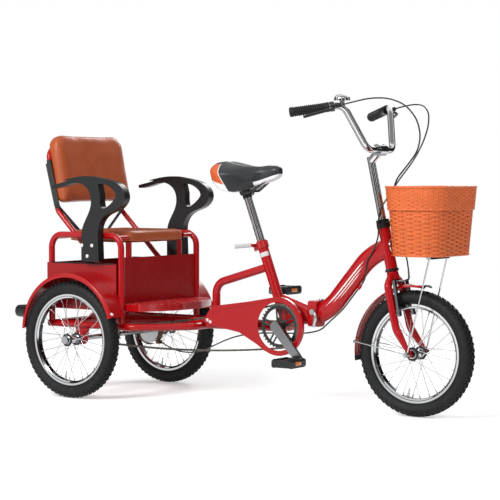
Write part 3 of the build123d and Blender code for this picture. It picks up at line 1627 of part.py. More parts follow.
rear_cable_lower = (
    (hinge_x - cable_joint_gap, 9, 254),
    (fore(796), 14, 246),
    (fore(755), 18, 241),
    (fore(705), 21, 239),
    (fore(650), 23, 237),
    (fore(590), 27, 233),
    (fore(525), 38, 225),
    (fore(455), 58, 210),
    (fore(385), 86, 188),
    (fore(318), 116, 164),
    (fore(255), 142, 143),
    (fore(195), 158, 131),
    (fore(138), 166, 131),
    (fore(92), 168, 142),
    (rear_axle_x + band_lug[0] + band_lug_length / 2 + cable_end_gap, brake_drum_y, axle_z + band_lug[1]),
)

for name, routes in (
    ("handlebar_cables", (front_cable, rear_cable_upper)),
    ("frame_cable", (rear_cable_middle,)),
    ("rear_cable", (rear_cable_lower,)),
):
    with BuildPart() as cables:
        for route in routes:
            radii = bend_radii(route)
            with BuildLine() as cable_path:
                cable_line = FilletPolyline(*route, radius=radii)
            with BuildSketch(Plane(origin=cable_line @ 0, z_dir=cable_line % 0)):
                Circle(cable_r)
            sweep(path=cable_line)
            print(name, "arcs", [round(radius) for radius in radii], "length", round(cable_line.length))
    print(name, "volume", round(cables.part.volume), "solids", len(cables.part.solids()))
    cables.part.label = name
    export_step(cables.part, f"parts/{name}.step")

# ================================================================ wheels
wheel_places = (
    ("front", front_axle_x, 0.0, front_hub_half_length, front_hub_half_length, front_flange_at, front_axle_r),
    ("rear_right", rear_axle_x, -rear_track / 2, rear_hub_outer, rear_hub_inner, rear_flange_at, rear_axle_r),
    ("rear_left", rear_axle_x, rear_track / 2, rear_hub_inner, rear_hub_outer, rear_flange_at, rear_axle_r),
)

for name, wheel_x, wheel_y, reach_right, reach_left, flange_at, bore_r in wheel_places:
    profile_plane = Plane(origin=(wheel_x, wheel_y, tyre_r), x_dir=(0, 1, 0), z_dir=(1, 0, 0))
    wheel_axis = Axis((wheel_x, wheel_y, tyre_r), (0, 1, 0))
    bead = rim_half_width - rim_wall - seat_gap
    with BuildPart() as tyre:
        with BuildSketch(profile_plane):
            with BuildLine():
                Polyline(
                    (bead, flange_r + 1),
                    (bead, rim_seat_r + seat_gap),
                    (-bead, rim_seat_r + seat_gap),
                    (-bead, flange_r + 1),
                )
                ThreePointArc(
                    (-bead, flange_r + 1), (-tyre_half_width, tyre_widest_r), (-tread_half_width, tread_edge_r)
                )
                ThreePointArc((-tread_half_width, tread_edge_r), (0, tyre_r), (tread_half_width, tread_edge_r))
                ThreePointArc(
                    (tread_half_width, tread_edge_r), (tyre_half_width, tyre_widest_r), (bead, flange_r + 1)
                )
            make_face()
        revolve(axis=wheel_axis)
    tyre.part.label = f"{name}_tyre"
    export_step(tyre.part, f"parts/{name}_tyre.step")

    with BuildPart() as wheel:
        with BuildSketch(profile_plane):
            with BuildLine():
                Polyline(
                    (-rim_half_width, flange_r),
                    (-rim_half_width + rim_wall, flange_r),
                    (-rim_half_width + rim_wall, rim_seat_r),
                    (rim_half_width - rim_wall, rim_seat_r),
                    (rim_half_width - rim_wall, flange_r),
                    (rim_half_width, flange_r),
                    (rim_half_width - 1, rim_inner_r + 7),
                    (rim_inner_half_width, rim_inner_r),
                    (-rim_inner_half_width, rim_inner_r),
                    (-rim_half_width + 1, rim_inner_r + 7),
                    close=True,
                )
            make_face()
        revolve(axis=wheel_axis)
        with BuildSketch(profile_plane):
            with BuildLine():
                Polyline(
                    (-reach_right, bore_r + running_fit),
                    (-reach_right, hub_shell_r),
                    (-flange_at - hub_flange_thick / 2, hub_shell_r),
                    (-flange_at - hub_flange_thick / 2, hub_flange_r),
                    (-flange_at + hub_flange_thick / 2, hub_flange_r),
                    (-flange_at + hub_flange_thick / 2, hub_shell_r),
                    (flange_at - hub_flange_thick / 2, hub_shell_r),
                    (flange_at - hub_flange_thick / 2, hub_flange_r),
                    (flange_at + hub_flange_thick / 2, hub_flange_r),
                    (flange_at + hub_flange_thick / 2, hub_shell_r),
                    (reach_left, hub_shell_r),
                    (reach_left, bore_r + running_fit),
                    close=True,
                )
            make_face()
        revolve(axis=wheel_axis)
        # laced spokes: each leaves its flange at a lean, every second one the other way
        spoke_planes = []
        for flange in (-1, 1):
            for number in range(spokes_per_flange):
                lean = spoke_lean if number % 2 else -spoke_lean
                hub_angle = 360 / spokes_per_flange * (number + 0.25 * flange)
                rim_angle = hub_angle + lean
                start = Vector(
                    wheel_x + spoke_circle_r * cos(radians(hub_angle)),
                    wheel_y + flange * (flange_at + (0.8 if number % 2 else -0.8)),
                    tyre_r + spoke_circle_r * sin(radians(hub_angle)),
                )
                end = Vector(
                    wheel_x + (rim_inner_r + 2) * cos(radians(rim_angle)),
                    wheel_y + flange * 2.5,
                    tyre_r + (rim_inner_r + 2) * sin(radians(rim_angle)),
                )
                spoke_planes.append(Plane(origin=start, z_dir=(end - start).normalized()))
                spoke_length = (end - start).length
        with BuildSketch(*spoke_planes):
            Circle(spoke_r)
        extrude(amount=spoke_length)
    wheel.part.label = f"{name}_wheel"
    export_step(wheel.part, f"parts/{name}_wheel.step")

# ---------------------------------------------------------------- rear axle with sprocket and drum
with BuildPart() as rear_axle:
    with BuildSketch(upright(0)):
        with Locations((rear_axle_x, axle_z)):
            Circle(rear_axle_r)
    extrude(amount=rear_axle_half_length, both=True)
    with BuildSketch(upright(chain_y + ring_thick / 2)):
        with Locations((rear_axle_x, axle_z)):
            Circle(sprocket_pitch_r - 2.4)
            with PolarLocations(sprocket_pitch_r - 1.4, sprocket_teeth):
                Rectangle(6.4, 5.2)
    extrude(amount=ring_thick)
    with BuildSketch(upright(chain_y - 8)):
        with Locations((rear_axle_x, axle_z)):
            Circle(17.0)
    extrude(amount=-26.0)
    with BuildSketch(upright(brake_drum_y + brake_drum_width / 2)):
        with Locations((rear_axle_x, axle_z)):
            Circle(brake_drum_r)
    extrude(amount=brake_drum_width)
    for side in (-1, 1):
        with BuildSketch(upright(side * (rear_track / 2 + rear_hub_outer + seat_gap))):
            with Locations((rear_axle_x, axle_z)):
                Circle(hub_nut_r)
        extrude(amount=-side * hub_nut_thick)

rear_axle.part.label = "rear_axle"
export_step(rear_axle.part, "parts/rear_axle.step")
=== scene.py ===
"""Dresses the folding adult tricycle: finishes, tread, chain, woven basket, cushions, saddle and fittings.

Lengths are in metres in the model's own frame: X forward, Y to the rider's left, Z up, the ground at Z = 0.
"""
import json
import logging
from collections.abc import Callable, Sequence
from dataclasses import dataclass
from enum import Enum
from math import atan2, cos, pi, radians, sin, sqrt, tau

import bmesh
import bpy
from mathutils import Matrix, Vector


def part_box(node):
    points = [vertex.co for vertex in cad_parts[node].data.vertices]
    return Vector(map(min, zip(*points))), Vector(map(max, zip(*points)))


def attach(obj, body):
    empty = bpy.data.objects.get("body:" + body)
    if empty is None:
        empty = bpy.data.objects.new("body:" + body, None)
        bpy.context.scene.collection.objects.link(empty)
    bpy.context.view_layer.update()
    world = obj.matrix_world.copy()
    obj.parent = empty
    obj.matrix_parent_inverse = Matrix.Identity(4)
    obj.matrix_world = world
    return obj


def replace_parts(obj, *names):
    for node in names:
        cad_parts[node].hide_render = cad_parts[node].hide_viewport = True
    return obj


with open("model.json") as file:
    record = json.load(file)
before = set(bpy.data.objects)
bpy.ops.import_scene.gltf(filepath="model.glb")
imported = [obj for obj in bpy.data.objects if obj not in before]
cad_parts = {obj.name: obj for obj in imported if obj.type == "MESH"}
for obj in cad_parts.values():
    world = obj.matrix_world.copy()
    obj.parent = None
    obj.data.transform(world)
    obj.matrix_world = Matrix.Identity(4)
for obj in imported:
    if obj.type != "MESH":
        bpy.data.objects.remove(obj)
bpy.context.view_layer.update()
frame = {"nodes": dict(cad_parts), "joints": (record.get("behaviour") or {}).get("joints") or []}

log = logging.getLogger("tricycle")

Colour = tuple[float, float, float]
X, Y, Z = Vector((1, 0, 0)), Vector((0, 1, 0)), Vector((0, 0, 1))


# ---------------------------------------------------------------------------------------------------- places
def joint_place(name: str) -> Vector:
    """The point that a joint of the frame turns about."""
    return Vector(next(j["pos_m"] for j in frame["joints"] if j["name"] == name))


REAR_AXLE = joint_place("rear_axle_spin")
CRANK_AXLE = joint_place("crank_spin")
STEER_FOOT = joint_place("steering_turn")
STEER_UP = Vector(next(j["axis"] for j in frame["joints"] if j["name"] == "steering_turn")).normalized()
SEAT_UP = Vector(next(j["axis"] for j in frame["joints"] if j["name"] == "seat_height")).normalized()


class Slot(Enum):
    """The material slots that the record names."""

    FRAME_RED = "frame_red"
    CHROME = "chrome"
    SILVER = "silver"
    BLACK_METAL = "black_metal"
    BLACK_PLASTIC = "black_plastic"
    BLACK_RUBBER = "black_rubber"
    TYRE_BLACK = "tyre_black"
    BROWN_LEATHER = "brown_leather"
    SADDLE_BLACK = "saddle_black"
    WOVEN_BROWN = "woven_brown"
    CHAIN_STEEL = "chain_steel"


def place(ahead: float, side: float, height: float) -> Vector:
    """A point given in millimetres ahead of the rear axle, to the rider's left and above the ground.

    Args:
        ahead: millimetres in front of the rear axle.
        side: millimetres to the left of the middle.
        height: millimetres above the ground.

    Returns:
        The point in metres.
    """
    return Vector((REAR_AXLE.x + ahead / 1000, side / 1000, height / 1000))


def srgb(red: int, green: int, blue: int) -> Colour:
    """The linear colour of three sRGB levels from 0 to 255."""
    levels = (v / 255 for v in (red, green, blue))
    return tuple(v / 12.92 if v <= 0.04045 else ((v + 0.055) / 1.055) ** 2.4 for v in levels)


# ---------------------------------------------------------------------------------------------- shader tools
class Nodes:
    """A short way to fill one node tree."""

    def __init__(self, tree: bpy.types.NodeTree) -> None:
        """Keeps the tree that the nodes go into."""
        self.tree = tree

    def add(self, kind: str, settings: dict | None = None, **inputs: object) -> bpy.types.Node:
        """Adds a node and fills its inputs.

        Args:
            kind: the node's type, without the ShaderNode prefix.
            settings: properties of the node itself.
            **inputs: values or sockets by input name, with _ for a space; in0, in1 and so on by number.

        Returns:
            The new node.
        """
        node = self.tree.nodes.new("ShaderNode" + kind)
        for name, value in (settings or {}).items():
            setattr(node, name, value)
        for name, value in inputs.items():
            numbered = name.startswith("in") and name[2:].isdigit()
            socket = node.inputs[int(name[2:])] if numbered else node.inputs[name.replace("_", " ")]
            if isinstance(value, bpy.types.NodeSocket):
                self.tree.links.new(value, socket)
            elif isinstance(value, tuple) and len(value) == 3 and socket.type == "RGBA":
                socket.default_value = (*value, 1.0)
            else:
                socket.default_value = value
        return node

    def math(self, operation: str, *values: object) -> bpy.types.NodeSocket:
        """One step of arithmetic on numbers or sockets."""
        inputs = {f"in{i}": value for i, value in enumerate(values)}
        return self.add("Math", {"operation": operation}, **inputs).outputs[0]

    def mix(self, share: object, first: object, second: object) -> bpy.types.NodeSocket:
        """A colour between two, where share runs from 0 to 1."""
        node = self.add("Mix", {"data_type": "RGBA"}, in0=share, in6=first, in7=second)
        return node.outputs[2]

    def ramp(self, value: object, low: float, high: float, to_low: float = 0.0,
             to_high: float = 1.0) -> bpy.types.NodeSocket:
        """Maps a value from one range to another and keeps it inside."""
        return self.add("MapRange", None, in0=value, in1=low, in2=high, in3=to_low, in4=to_high).outputs[0]


class Effects:
    """The shader groups that several finishes share, each built once."""

    groups: dict[str, bpy.types.NodeTree] = {}

    @classmethod
    def _group(cls, name: str, inputs: dict[str, str], outputs: dict[str, str]) -> tuple[Nodes, Nodes, Nodes]:
        """Starts a group with named sockets.

        Args:
            name: the group's name.
            inputs: the kind of each input socket by its label.
            outputs: the kind of each output socket by its label.

        Returns:
            The group's nodes, its input node and its output node.
        """
        tree = bpy.data.node_groups.new(name, "ShaderNodeTree")
        for label, kind in inputs.items():
            tree.interface.new_socket(label, in_out="INPUT", socket_type="NodeSocket" + kind)
        for label, kind in outputs.items():
            tree.interface.new_socket(label, in_out="OUTPUT", socket_type="NodeSocket" + kind)
        cls.groups[name] = tree
        return Nodes(tree), tree.nodes.new("NodeGroupInput"), tree.nodes.new("NodeGroupOutput")

    @classmethod
    def mottle(cls) -> bpy.types.NodeTree:
        """A colour whose tone drifts over the surface, with a mask of the drift for the roughness."""
        if "mottle" not in cls.groups:
            n, given, out = cls._group(
                "mottle",
                {"Colour": "Color", "Place": "Vector", "Scale": "Float", "Amount": "Float"},
                {"Colour": "Color", "Mask": "Float"},
            )
            broad = n.add("TexNoise", None, Vector=given.outputs[1], Scale=given.outputs[2], Detail=4.0)
            mask = n.ramp(broad.outputs[0], 0.3, 0.7)
            spread = n.math("MULTIPLY", n.math("SUBTRACT", mask, 0.5), given.outputs[3])
            tone = n.add("HueSaturation", None, Color=given.outputs[0], Value=n.math("ADD", spread, 1.0))
            n.tree.links.new(tone.outputs[0], out.inputs[0])
            n.tree.links.new(mask, out.inputs[1])
        return cls.groups["mottle"]

    @classmethod
    def grain(cls) -> bpy.types.NodeTree:
        """A fine relief: soft cells like hide or moulded plastic, mixed with noise."""
        if "grain" not in cls.groups:
            n, given, out = cls._group(
                "grain", {"Place": "Vector", "Scale": "Float", "Cells": "Float"}, {"Height": "Float"}
            )
            fine = n.add("TexNoise", None, Vector=given.outputs[0], Scale=given.outputs[1], Detail=3.0)
            cells = n.add("TexVoronoi", {"feature": "SMOOTH_F1"}, Vector=given.outputs[0],
                          Scale=given.outputs[1])
            mixed = n.add("Mix", None, in0=given.outputs[2], in2=fine.outputs[0], in3=cells.outputs[0])
            n.tree.links.new(mixed.outputs[0], out.inputs[0])
        return cls.groups["grain"]

    @classmethod
    def beyond(cls) -> bpy.types.NodeTree:
        """1 on the far side of a plane through Point that faces Facing, 0 on the near side."""
        if "beyond" not in cls.groups:
            n, given, out = cls._group(
                "beyond",
                {"Place": "Vector", "Point": "Vector", "Facing": "Vector", "Softness": "Float"},
                {"Mask": "Float"},
            )
            apart = n.add("VectorMath", {"operation": "SUBTRACT"}, in0=given.outputs[0], in1=given.outputs[1])
            depth = n.add("VectorMath", {"operation": "DOT_PRODUCT"}, in0=apart.outputs[0],
                          in1=given.outputs[2])
            scaled = n.math("DIVIDE", depth.outputs[1], given.outputs[3])
            n.tree.links.new(n.ramp(scaled, -0.5, 0.5), out.inputs[0])
        return cls.groups["beyond"]

    @classmethod
    def wheel_radius(cls) -> bpy.types.NodeTree:
        """How far a place lies from an axle that runs along Y through Centre."""
        if "wheel_radius" not in cls.groups:
            n, given, out = cls._group(
                "wheel_radius", {"Place": "Vector", "Centre": "Vector"}, {"Radius": "Float"}
            )
            apart = n.add("VectorMath", {"operation": "SUBTRACT"}, in0=given.outputs[0], in1=given.outputs[1])
            flat = n.add("VectorMath", {"operation": "MULTIPLY"}, in0=apart.outputs[0], in1=(1.0, 0.0, 1.0))
            size = n.add("VectorMath", {"operation": "LENGTH"}, in0=flat.outputs[0])
            n.tree.links.new(size.outputs[1], out.inputs[0])
        return cls.groups["wheel_radius"]


@dataclass
class Surface:
    """The sockets that a finish hands to its Principled shader."""

    colour: bpy.types.NodeSocket
    rough: bpy.types.NodeSocket
    height: bpy.types.NodeSocket | None = None
    metal: bpy.types.NodeSocket | None = None


# -------------------------------------------------------------------------------------------------- finishes
@dataclass(frozen=True)
class Finish:
    """A surface whose tone and gloss drift a little and that has a fine relief."""

    name: str
    colour: Colour
    slot: Slot
    rough: float = 0.4
    metal: float = 0.0
    coat: float = 0.0
    specular: float = 0.5
    drift: float = 0.08
    drift_scale: float = 9.0
    gloss_drift: float = 0.08
    grain_scale: float = 900.0
    grain_cells: float = 0.0
    grain_depth: float = 0.0
    coat_rough: float = 0.06

    def surface(self, n: Nodes, spot: bpy.types.NodeSocket) -> Surface:
        """Builds the colour, roughness and relief over the surface.

        Args:
            n: the material's nodes.
            spot: the place on the surface in object coordinates.

        Returns:
            The sockets for the shader.
        """
        tone = n.add("Group", {"node_tree": Effects.mottle()}, Colour=self.colour, Place=spot)
        tone.inputs["Scale"].default_value = self.drift_scale
        tone.inputs["Amount"].default_value = self.drift
        low = max(self.rough - self.gloss_drift / 2, 0.02)
        rough = n.ramp(tone.outputs[1], 0.0, 1.0, low, self.rough + self.gloss_drift / 2)
        return Surface(tone.outputs[0], rough, self.relief(n, spot))

    def relief(self, n: Nodes, spot: bpy.types.NodeSocket) -> bpy.types.NodeSocket | None:
        """Builds the fine grain.

        Args:
            n: the material's nodes.
            spot: the place on the surface in object coordinates.

        Returns:
            The height of the grain, or None where the surface is smooth.
        """
        if not self.grain_depth:
            return None
        grain = n.add("Group", {"node_tree": Effects.grain()}, Place=spot)
        grain.inputs["Scale"].default_value = self.grain_scale
        grain.inputs["Cells"].default_value = self.grain_cells
        return grain.outputs[0]

    def material(self) -> bpy.types.Material:
        """The finished material, built once for each finish."""
        label = f"{self.name}_finish"
        made = bpy.data.materials.get(label)
        if made:
            return made
        made = bpy.data.materials.new(label)
        made.use_nodes = True
        made.diffuse_color = (*self.colour, 1.0)
        n = Nodes(made.node_tree)
        shader = made.node_tree.nodes["Principled BSDF"]
        spot = n.add("TexCoord").outputs["Object"]
        surface = self.surface(n, spot)
        links = made.node_tree.links
        links.new(surface.colour, shader.inputs["Base Color"])
        links.new(surface.rough, shader.inputs["Roughness"])
        if surface.metal is None:
            shader.inputs["Metallic"].default_value = self.metal
        else:
            links.new(surface.metal, shader.inputs["Metallic"])
        shader.inputs["Coat Weight"].default_value = self.coat
        shader.inputs["Coat Roughness"].default_value = self.coat_rough
        shader.inputs["Specular IOR Level"].default_value = self.specular
        if surface.height is not None:
            bump = n.add("Bump", None, Strength=1.0, Distance=self.grain_depth, Height=surface.height)
            links.new(bump.outputs[0], shader.inputs["Normal"])
        return made

    def on(self, *names: str) -> None:
        """Gives this finish to CAD nodes.

        Args:
            *names: the nodes' names.
        """
        made = self.material()
        for name in names:
            node = frame["nodes"][name]
            node.data.materials.clear()
            node.data.materials.append(made)


@dataclass(frozen=True)
class PlatingWithPaintedReflection(Finish):
    """Bright plating with a painted reflection: the colour turns dark in a narrow band and at its edges, like
    a bar between soft lights.
    """

    # band, edge and dark set the painted reflection: the strength of the dark band, of the dark rim, and
    # their colour
    band: float = 0.75
    edge: float = 1.0
    dark: Colour = (0.02, 0.02, 0.023)

    def surface(self, n: Nodes, spot: bpy.types.NodeSocket) -> Surface:
        """Paints a dark reflection into the plating's colour by how far it faces away.

        Args:
            n: the material's nodes.
            spot: the place on the surface in object coordinates.

        Returns:
            The sockets for the shader.
        """
        plain = super().surface(n, spot)
        # painted reflection: a dark band and a dark rim, laid into the colour by how far the surface faces
        # away
        facing = n.add("LayerWeight", None, Blend=0.5).outputs["Facing"]
        painted_dark_band = n.math("MULTIPLY", n.ramp(facing, 0.08, 0.15), n.ramp(facing, 0.24, 0.36, 1.0, 0.0))
        rim = n.math("MULTIPLY", n.ramp(facing, 0.52, 0.72), self.edge)
        share = n.math("MAXIMUM", n.math("MULTIPLY", painted_dark_band, self.band), rim)
        return Surface(n.mix(share, plain.colour, self.dark), plain.rough, plain.height)


@dataclass(frozen=True)
class WheelMetal(Finish):
    """Chromed rim and spokes, with painted shade in the well inside the rim and at its edges, and black hub
    rings between chrome caps.
    """

    centre: tuple[float, float, float] = (0.0, 0.0, 0.0)
    hub_reach: float = 0.024
    cap_reach: float = 0.0145
    rim_reach: float = 0.144
    flange_reach: float = 0.1595
    edge_soft: float = 0.0004
    shadow: Colour = (0.02, 0.02, 0.023)
    hub_black: Colour = (0.012, 0.012, 0.013)

    def ring(self, n: Nodes, radius: bpy.types.NodeSocket, inner: float,
             outer: float) -> bpy.types.NodeSocket:
        """Masks a ring round the axle.

        Args:
            n: the material's nodes.
            radius: the distance from the axle.
            inner: where the ring starts.
            outer: where it ends.

        Returns:
            1 inside the ring and 0 elsewhere, with a narrow soft edge.
        """
        rise = n.ramp(radius, inner - self.edge_soft, inner + self.edge_soft)
        fall = n.ramp(radius, outer - self.edge_soft, outer + self.edge_soft, 1.0, 0.0)
        return n.math("MULTIPLY", rise, fall)

    def surface(self, n: Nodes, spot: bpy.types.NodeSocket) -> Surface:
        """Chrome, with black between the hub's cap and the spokes and rings of painted shade at the rim's
        well and edge.

        Args:
            n: the material's nodes.
            spot: the place on the surface in object coordinates.

        Returns:
            The sockets for the shader.
        """
        plain = super().surface(n, spot)
        group = n.add("Group", {"node_tree": Effects.wheel_radius()}, Place=spot, Centre=self.centre)
        radius = group.outputs[0]
        black = self.ring(n, radius, self.cap_reach, self.hub_reach)
        # painted shade: dark rings at the rim's well, its outer lip and a step on its flank
        well = self.ring(n, radius, self.rim_reach - 0.002, self.rim_reach + 0.0012)
        lip = self.ring(n, radius, self.flange_reach - 0.0014, self.flange_reach + 0.002)
        step = self.ring(n, radius, self.rim_reach + 0.0055, self.rim_reach + 0.0078)
        well_shade = n.math("MULTIPLY", well, 0.93)
        edge_shade = n.math("MULTIPLY", n.math("ADD", lip, step), 0.8)
        shade = n.math("MAXIMUM", well_shade, edge_shade)
        colour = n.mix(black, n.mix(shade, plain.colour, self.shadow), self.hub_black)
        metal = n.math("SUBTRACT", 1.0, black)
        rough = n.math("ADD", plain.rough, n.math("MULTIPLY", black, 0.3))
        return Surface(colour, rough, None, metal)


@dataclass(frozen=True)
class Rubber(Finish):
    """Tyre rubber: near black, dusty grey in scattered patches, with fine moulded rings round the wheel."""

    centre: tuple[float, float, float] = (0.0, 0.0, 0.0)
    ring_pitch: float = 0.0016
    wall_reach: tuple[float, float] = (0.176, 0.184)
    dust: Colour = srgb(46, 45, 44)

    def surface(self, n: Nodes, spot: bpy.types.NodeSocket) -> Surface:
        """Adds the moulding rings and a dusty bloom.

        Args:
            n: the material's nodes.
            spot: the place on the surface in object coordinates.

        Returns:
            The sockets for the shader.
        """
        plain = super().surface(n, spot)
        group = n.add("Group", {"node_tree": Effects.wheel_radius()}, Place=spot, Centre=self.centre)
        radius = group.outputs[0]
        rings = n.math("SINE", n.math("MULTIPLY", radius, tau / self.ring_pitch))
        side = n.ramp(radius, *self.wall_reach, 1.0, 0.0)
        height = n.math("ADD", n.math("MULTIPLY", plain.height, 0.6),
                        n.math("MULTIPLY", n.math("MULTIPLY", rings, side), 0.35))
        patches = n.add("TexNoise", None, Vector=spot, Scale=45.0, Detail=6.0)
        colour = n.mix(n.ramp(patches.outputs[0], 0.5, 0.8, 0.0, 0.35), plain.colour, self.dust)
        return Surface(colour, plain.rough, height)


@dataclass(frozen=True)
class Wicker(Finish):
    """Plastic cane: long fine grooves along the strand and a darker tone that varies from strand to strand.
    """

    streak: Colour = srgb(196, 86, 36)

    def surface(self, n: Nodes, spot: bpy.types.NodeSocket) -> Surface:
        """Tone varies from strand to strand, and grooves run along each one.

        Args:
            n: the material's nodes.
            spot: the place on the surface in object coordinates.

        Returns:
            The sockets for the shader.
        """
        plain = super().surface(n, spot)
        rows = n.add("Mapping", None, Vector=spot, Scale=(6.0, 6.0, 150.0)).outputs[0]
        streaks = n.add("TexNoise", None, Vector=rows, Scale=1.0, Detail=2.0)
        colour = n.mix(n.ramp(streaks.outputs[0], 0.35, 0.7, 0.0, 0.5), plain.colour, self.streak)
        grooves = n.add("Mapping", None, Vector=spot, Scale=(20.0, 20.0, 1800.0)).outputs[0]
        height = n.add("TexNoise", None, Vector=grooves, Scale=1.0, Detail=1.0).outputs[0]
        return Surface(colour, plain.rough, height)


@dataclass(frozen=True)
class Panelled(Finish):
    """Upholstery of one colour with cut panels of others, each beyond a row of planes."""

    panels: tuple[tuple[Colour, tuple[tuple[Sequence[float], Sequence[float]], ...]], ...] = ()
    seam: float = 0.0012

    def surface(self, n: Nodes, spot: bpy.types.NodeSocket) -> Surface:
        """Lays each panel's colour over the last where a place is beyond all of its planes.

        Args:
            n: the material's nodes.
            spot: the place on the surface in object coordinates.

        Returns:
            The sockets for the shader.
        """
        plain = super().surface(n, spot)
        colour = plain.colour
        for tint, planes in self.panels:
            mask = None
            for point, facing in planes:
                one = n.add("Group", {"node_tree": Effects.beyond()}, Place=spot, Point=tuple(point))
                one.inputs["Facing"].default_value = tuple(facing)
                one.inputs["Softness"].default_value = self.seam
                mask = one.outputs[0] if mask is None else n.math("MULTIPLY", mask, one.outputs[0])
            colour = n.mix(mask, colour, tint)
        return Surface(colour, plain.rough, plain.height)


@dataclass(frozen=True)
class TreadPlate(Finish):
    """Painted sheet with a raised lattice on its level top, the lattice lightened by a painted glint."""

    top: float = 0.33
    pitch: float = 0.03
    glint: Colour = srgb(236, 190, 186)

    def surface(self, n: Nodes, spot: bpy.types.NodeSocket) -> Surface:
        """Two crossing rows of ribs stand up from the top face and carry a painted glint.

        Args:
            n: the material's nodes.
            spot: the place on the surface in object coordinates.

        Returns:
            The sockets for the shader.
        """
        plain = super().surface(n, spot)
        parts = n.add("SeparateXYZ", None, Vector=spot)
        ribs = None
        for sign in ("ADD", "SUBTRACT"):
            run = n.math(sign, parts.outputs[0], parts.outputs[1])
            wave = n.math("ABSOLUTE", n.math("SINE", n.math("MULTIPLY", run, pi / self.pitch)))
            rib = n.ramp(wave, 0.0, 0.28, 1.0, 0.0)
            ribs = rib if ribs is None else n.math("MAXIMUM", ribs, rib)
        level = n.ramp(parts.outputs[2], self.top - 0.003, self.top - 0.001)
        height = n.math("MULTIPLY", ribs, level)
        # painted highlight: the glint colour is laid on the ribs by their height
        colour = n.mix(n.math("MULTIPLY", height, 0.35), plain.colour, self.glint)
        return Surface(colour, plain.rough, height)


@dataclass(frozen=True)
class Webbing(Finish):
    """Woven strap: fine diagonal ribs."""

    def relief(self, n: Nodes, spot: bpy.types.NodeSocket) -> bpy.types.NodeSocket:
        """Lays diagonal bands about a millimetre and a half apart.

        Args:
            n: the material's nodes.
            spot: the place on the surface in object coordinates.

        Returns:
            The height of the bands.
        """
        bands = n.add("TexWave", {"bands_direction": "DIAGONAL"}, Vector=spot, Scale=210.0, Distortion=0.6)
        return bands.outputs[1]


PAINT_RED = srgb(168, 8, 16)
LABEL_GREY = srgb(176, 178, 180)
LEVER_START = place(586, 0, 530)

RED = Finish("frame_red", PAINT_RED, Slot.FRAME_RED, rough=0.26, coat=0.35, specular=0.2, drift=0.05,
             gloss_drift=0.05, grain_scale=420.0, grain_depth=0.00004)
DEEP_RED = Finish("panel_red", srgb(150, 7, 14), Slot.FRAME_RED, rough=0.28, coat=0.25, specular=0.2,
                  drift=0.1, gloss_drift=0.08, grain_scale=300.0, grain_depth=0.00005)
TRAY = TreadPlate("tray_red", PAINT_RED, Slot.FRAME_RED, rough=0.22, coat=0.6, drift=0.05, grain_depth=0.0012)
CLAMP = Panelled("clamp_red", PAINT_RED, Slot.FRAME_RED, rough=0.26, coat=0.4, drift=0.05,
                 panels=((LABEL_GREY, ((LEVER_START, -X),)),))
BADGE_RED = Finish("badge_red", srgb(120, 8, 14), Slot.FRAME_RED, rough=0.15, coat=0.9, drift=0.3,
                   drift_scale=30.0)
RED_LENS = Finish("red_lens", srgb(170, 10, 14), Slot.FRAME_RED, rough=0.12, coat=0.9, drift=0.3,
                  drift_scale=300.0, grain_scale=330.0, grain_cells=1.0, grain_depth=0.0008)
AMBER = Finish("amber_lens", srgb(230, 120, 20), Slot.BLACK_PLASTIC, rough=0.15, coat=0.8, drift=0.3,
               drift_scale=300.0, grain_scale=400.0, grain_cells=1.0, grain_depth=0.0006)
# CHROME, SILVER, CRANK_ALLOY and DARK_SILVER carry a painted reflection: a dark band and a dark rim in their
# colour
CHROME = PlatingWithPaintedReflection("chrome", (0.74, 0.75, 0.76), Slot.CHROME, rough=0.09, metal=1.0, drift=0.04,
                  gloss_drift=0.05)
SILVER = PlatingWithPaintedReflection("silver", (0.5, 0.51, 0.52), Slot.SILVER, rough=0.24, metal=1.0, drift=0.06,
                  gloss_drift=0.1, band=0.25, edge=0.85, grain_scale=1300.0, grain_depth=0.00003)
CRANK_ALLOY = PlatingWithPaintedReflection("crank_alloy", (0.36, 0.37, 0.38), Slot.SILVER, rough=0.2, metal=1.0, drift=0.12,
                       band=0.45, edge=0.9)
DARK_SILVER = PlatingWithPaintedReflection("dark_silver", (0.2, 0.2, 0.21), Slot.SILVER, rough=0.22, metal=1.0, drift=0.1,
                       band=0.3)
DRUM_BROWN = Finish("drum_brown", srgb(92, 66, 44), Slot.SILVER, rough=0.38, metal=0.8, drift=0.3,
                    drift_scale=40.0, grain_scale=700.0, grain_depth=0.00004)
LABEL = Finish("label_silver", srgb(206, 206, 208), Slot.SILVER, rough=0.3, coat=0.3, drift=0.06)
WHITE_CAP = Finish("white_cap", srgb(226, 226, 222), Slot.SILVER, rough=0.3, coat=0.3, drift=0.05)
STRIPE = Finish("stripe_white", srgb(236, 232, 226), Slot.SILVER, rough=0.28, coat=0.6, drift=0.05)
CHAIN_STEEL = Finish("chain_steel", (0.13, 0.12, 0.105), Slot.CHAIN_STEEL, rough=0.32, metal=1.0, drift=0.4,
                     drift_scale=60.0, gloss_drift=0.2)
BLACK_METAL = Finish("black_metal", srgb(20, 21, 22), Slot.BLACK_METAL, rough=0.3, coat=0.3, specular=0.35,
                     drift=0.2, grain_scale=800.0, grain_depth=0.00004)
BLACK_PLASTIC = Finish("black_plastic", srgb(18, 19, 21), Slot.BLACK_PLASTIC, rough=0.3, drift=0.14,
                       specular=0.4, grain_scale=1500.0, grain_cells=0.6, grain_depth=0.00008)
BLACK_RUBBER = Finish("black_rubber", srgb(18, 18, 19), Slot.BLACK_RUBBER, rough=0.55, specular=0.35,
                      drift=0.15, grain_scale=1700.0, grain_cells=0.8, grain_depth=0.0001)
CABLE = Finish("cable_black", srgb(18, 18, 19), Slot.BLACK_RUBBER, rough=0.34, coat=0.2, drift=0.1,
               grain_scale=1500.0, grain_depth=0.00004)
STRAP = Webbing("strap_webbing", srgb(22, 24, 24), Slot.BLACK_RUBBER, rough=0.62, drift=0.2,
                grain_depth=0.0003)
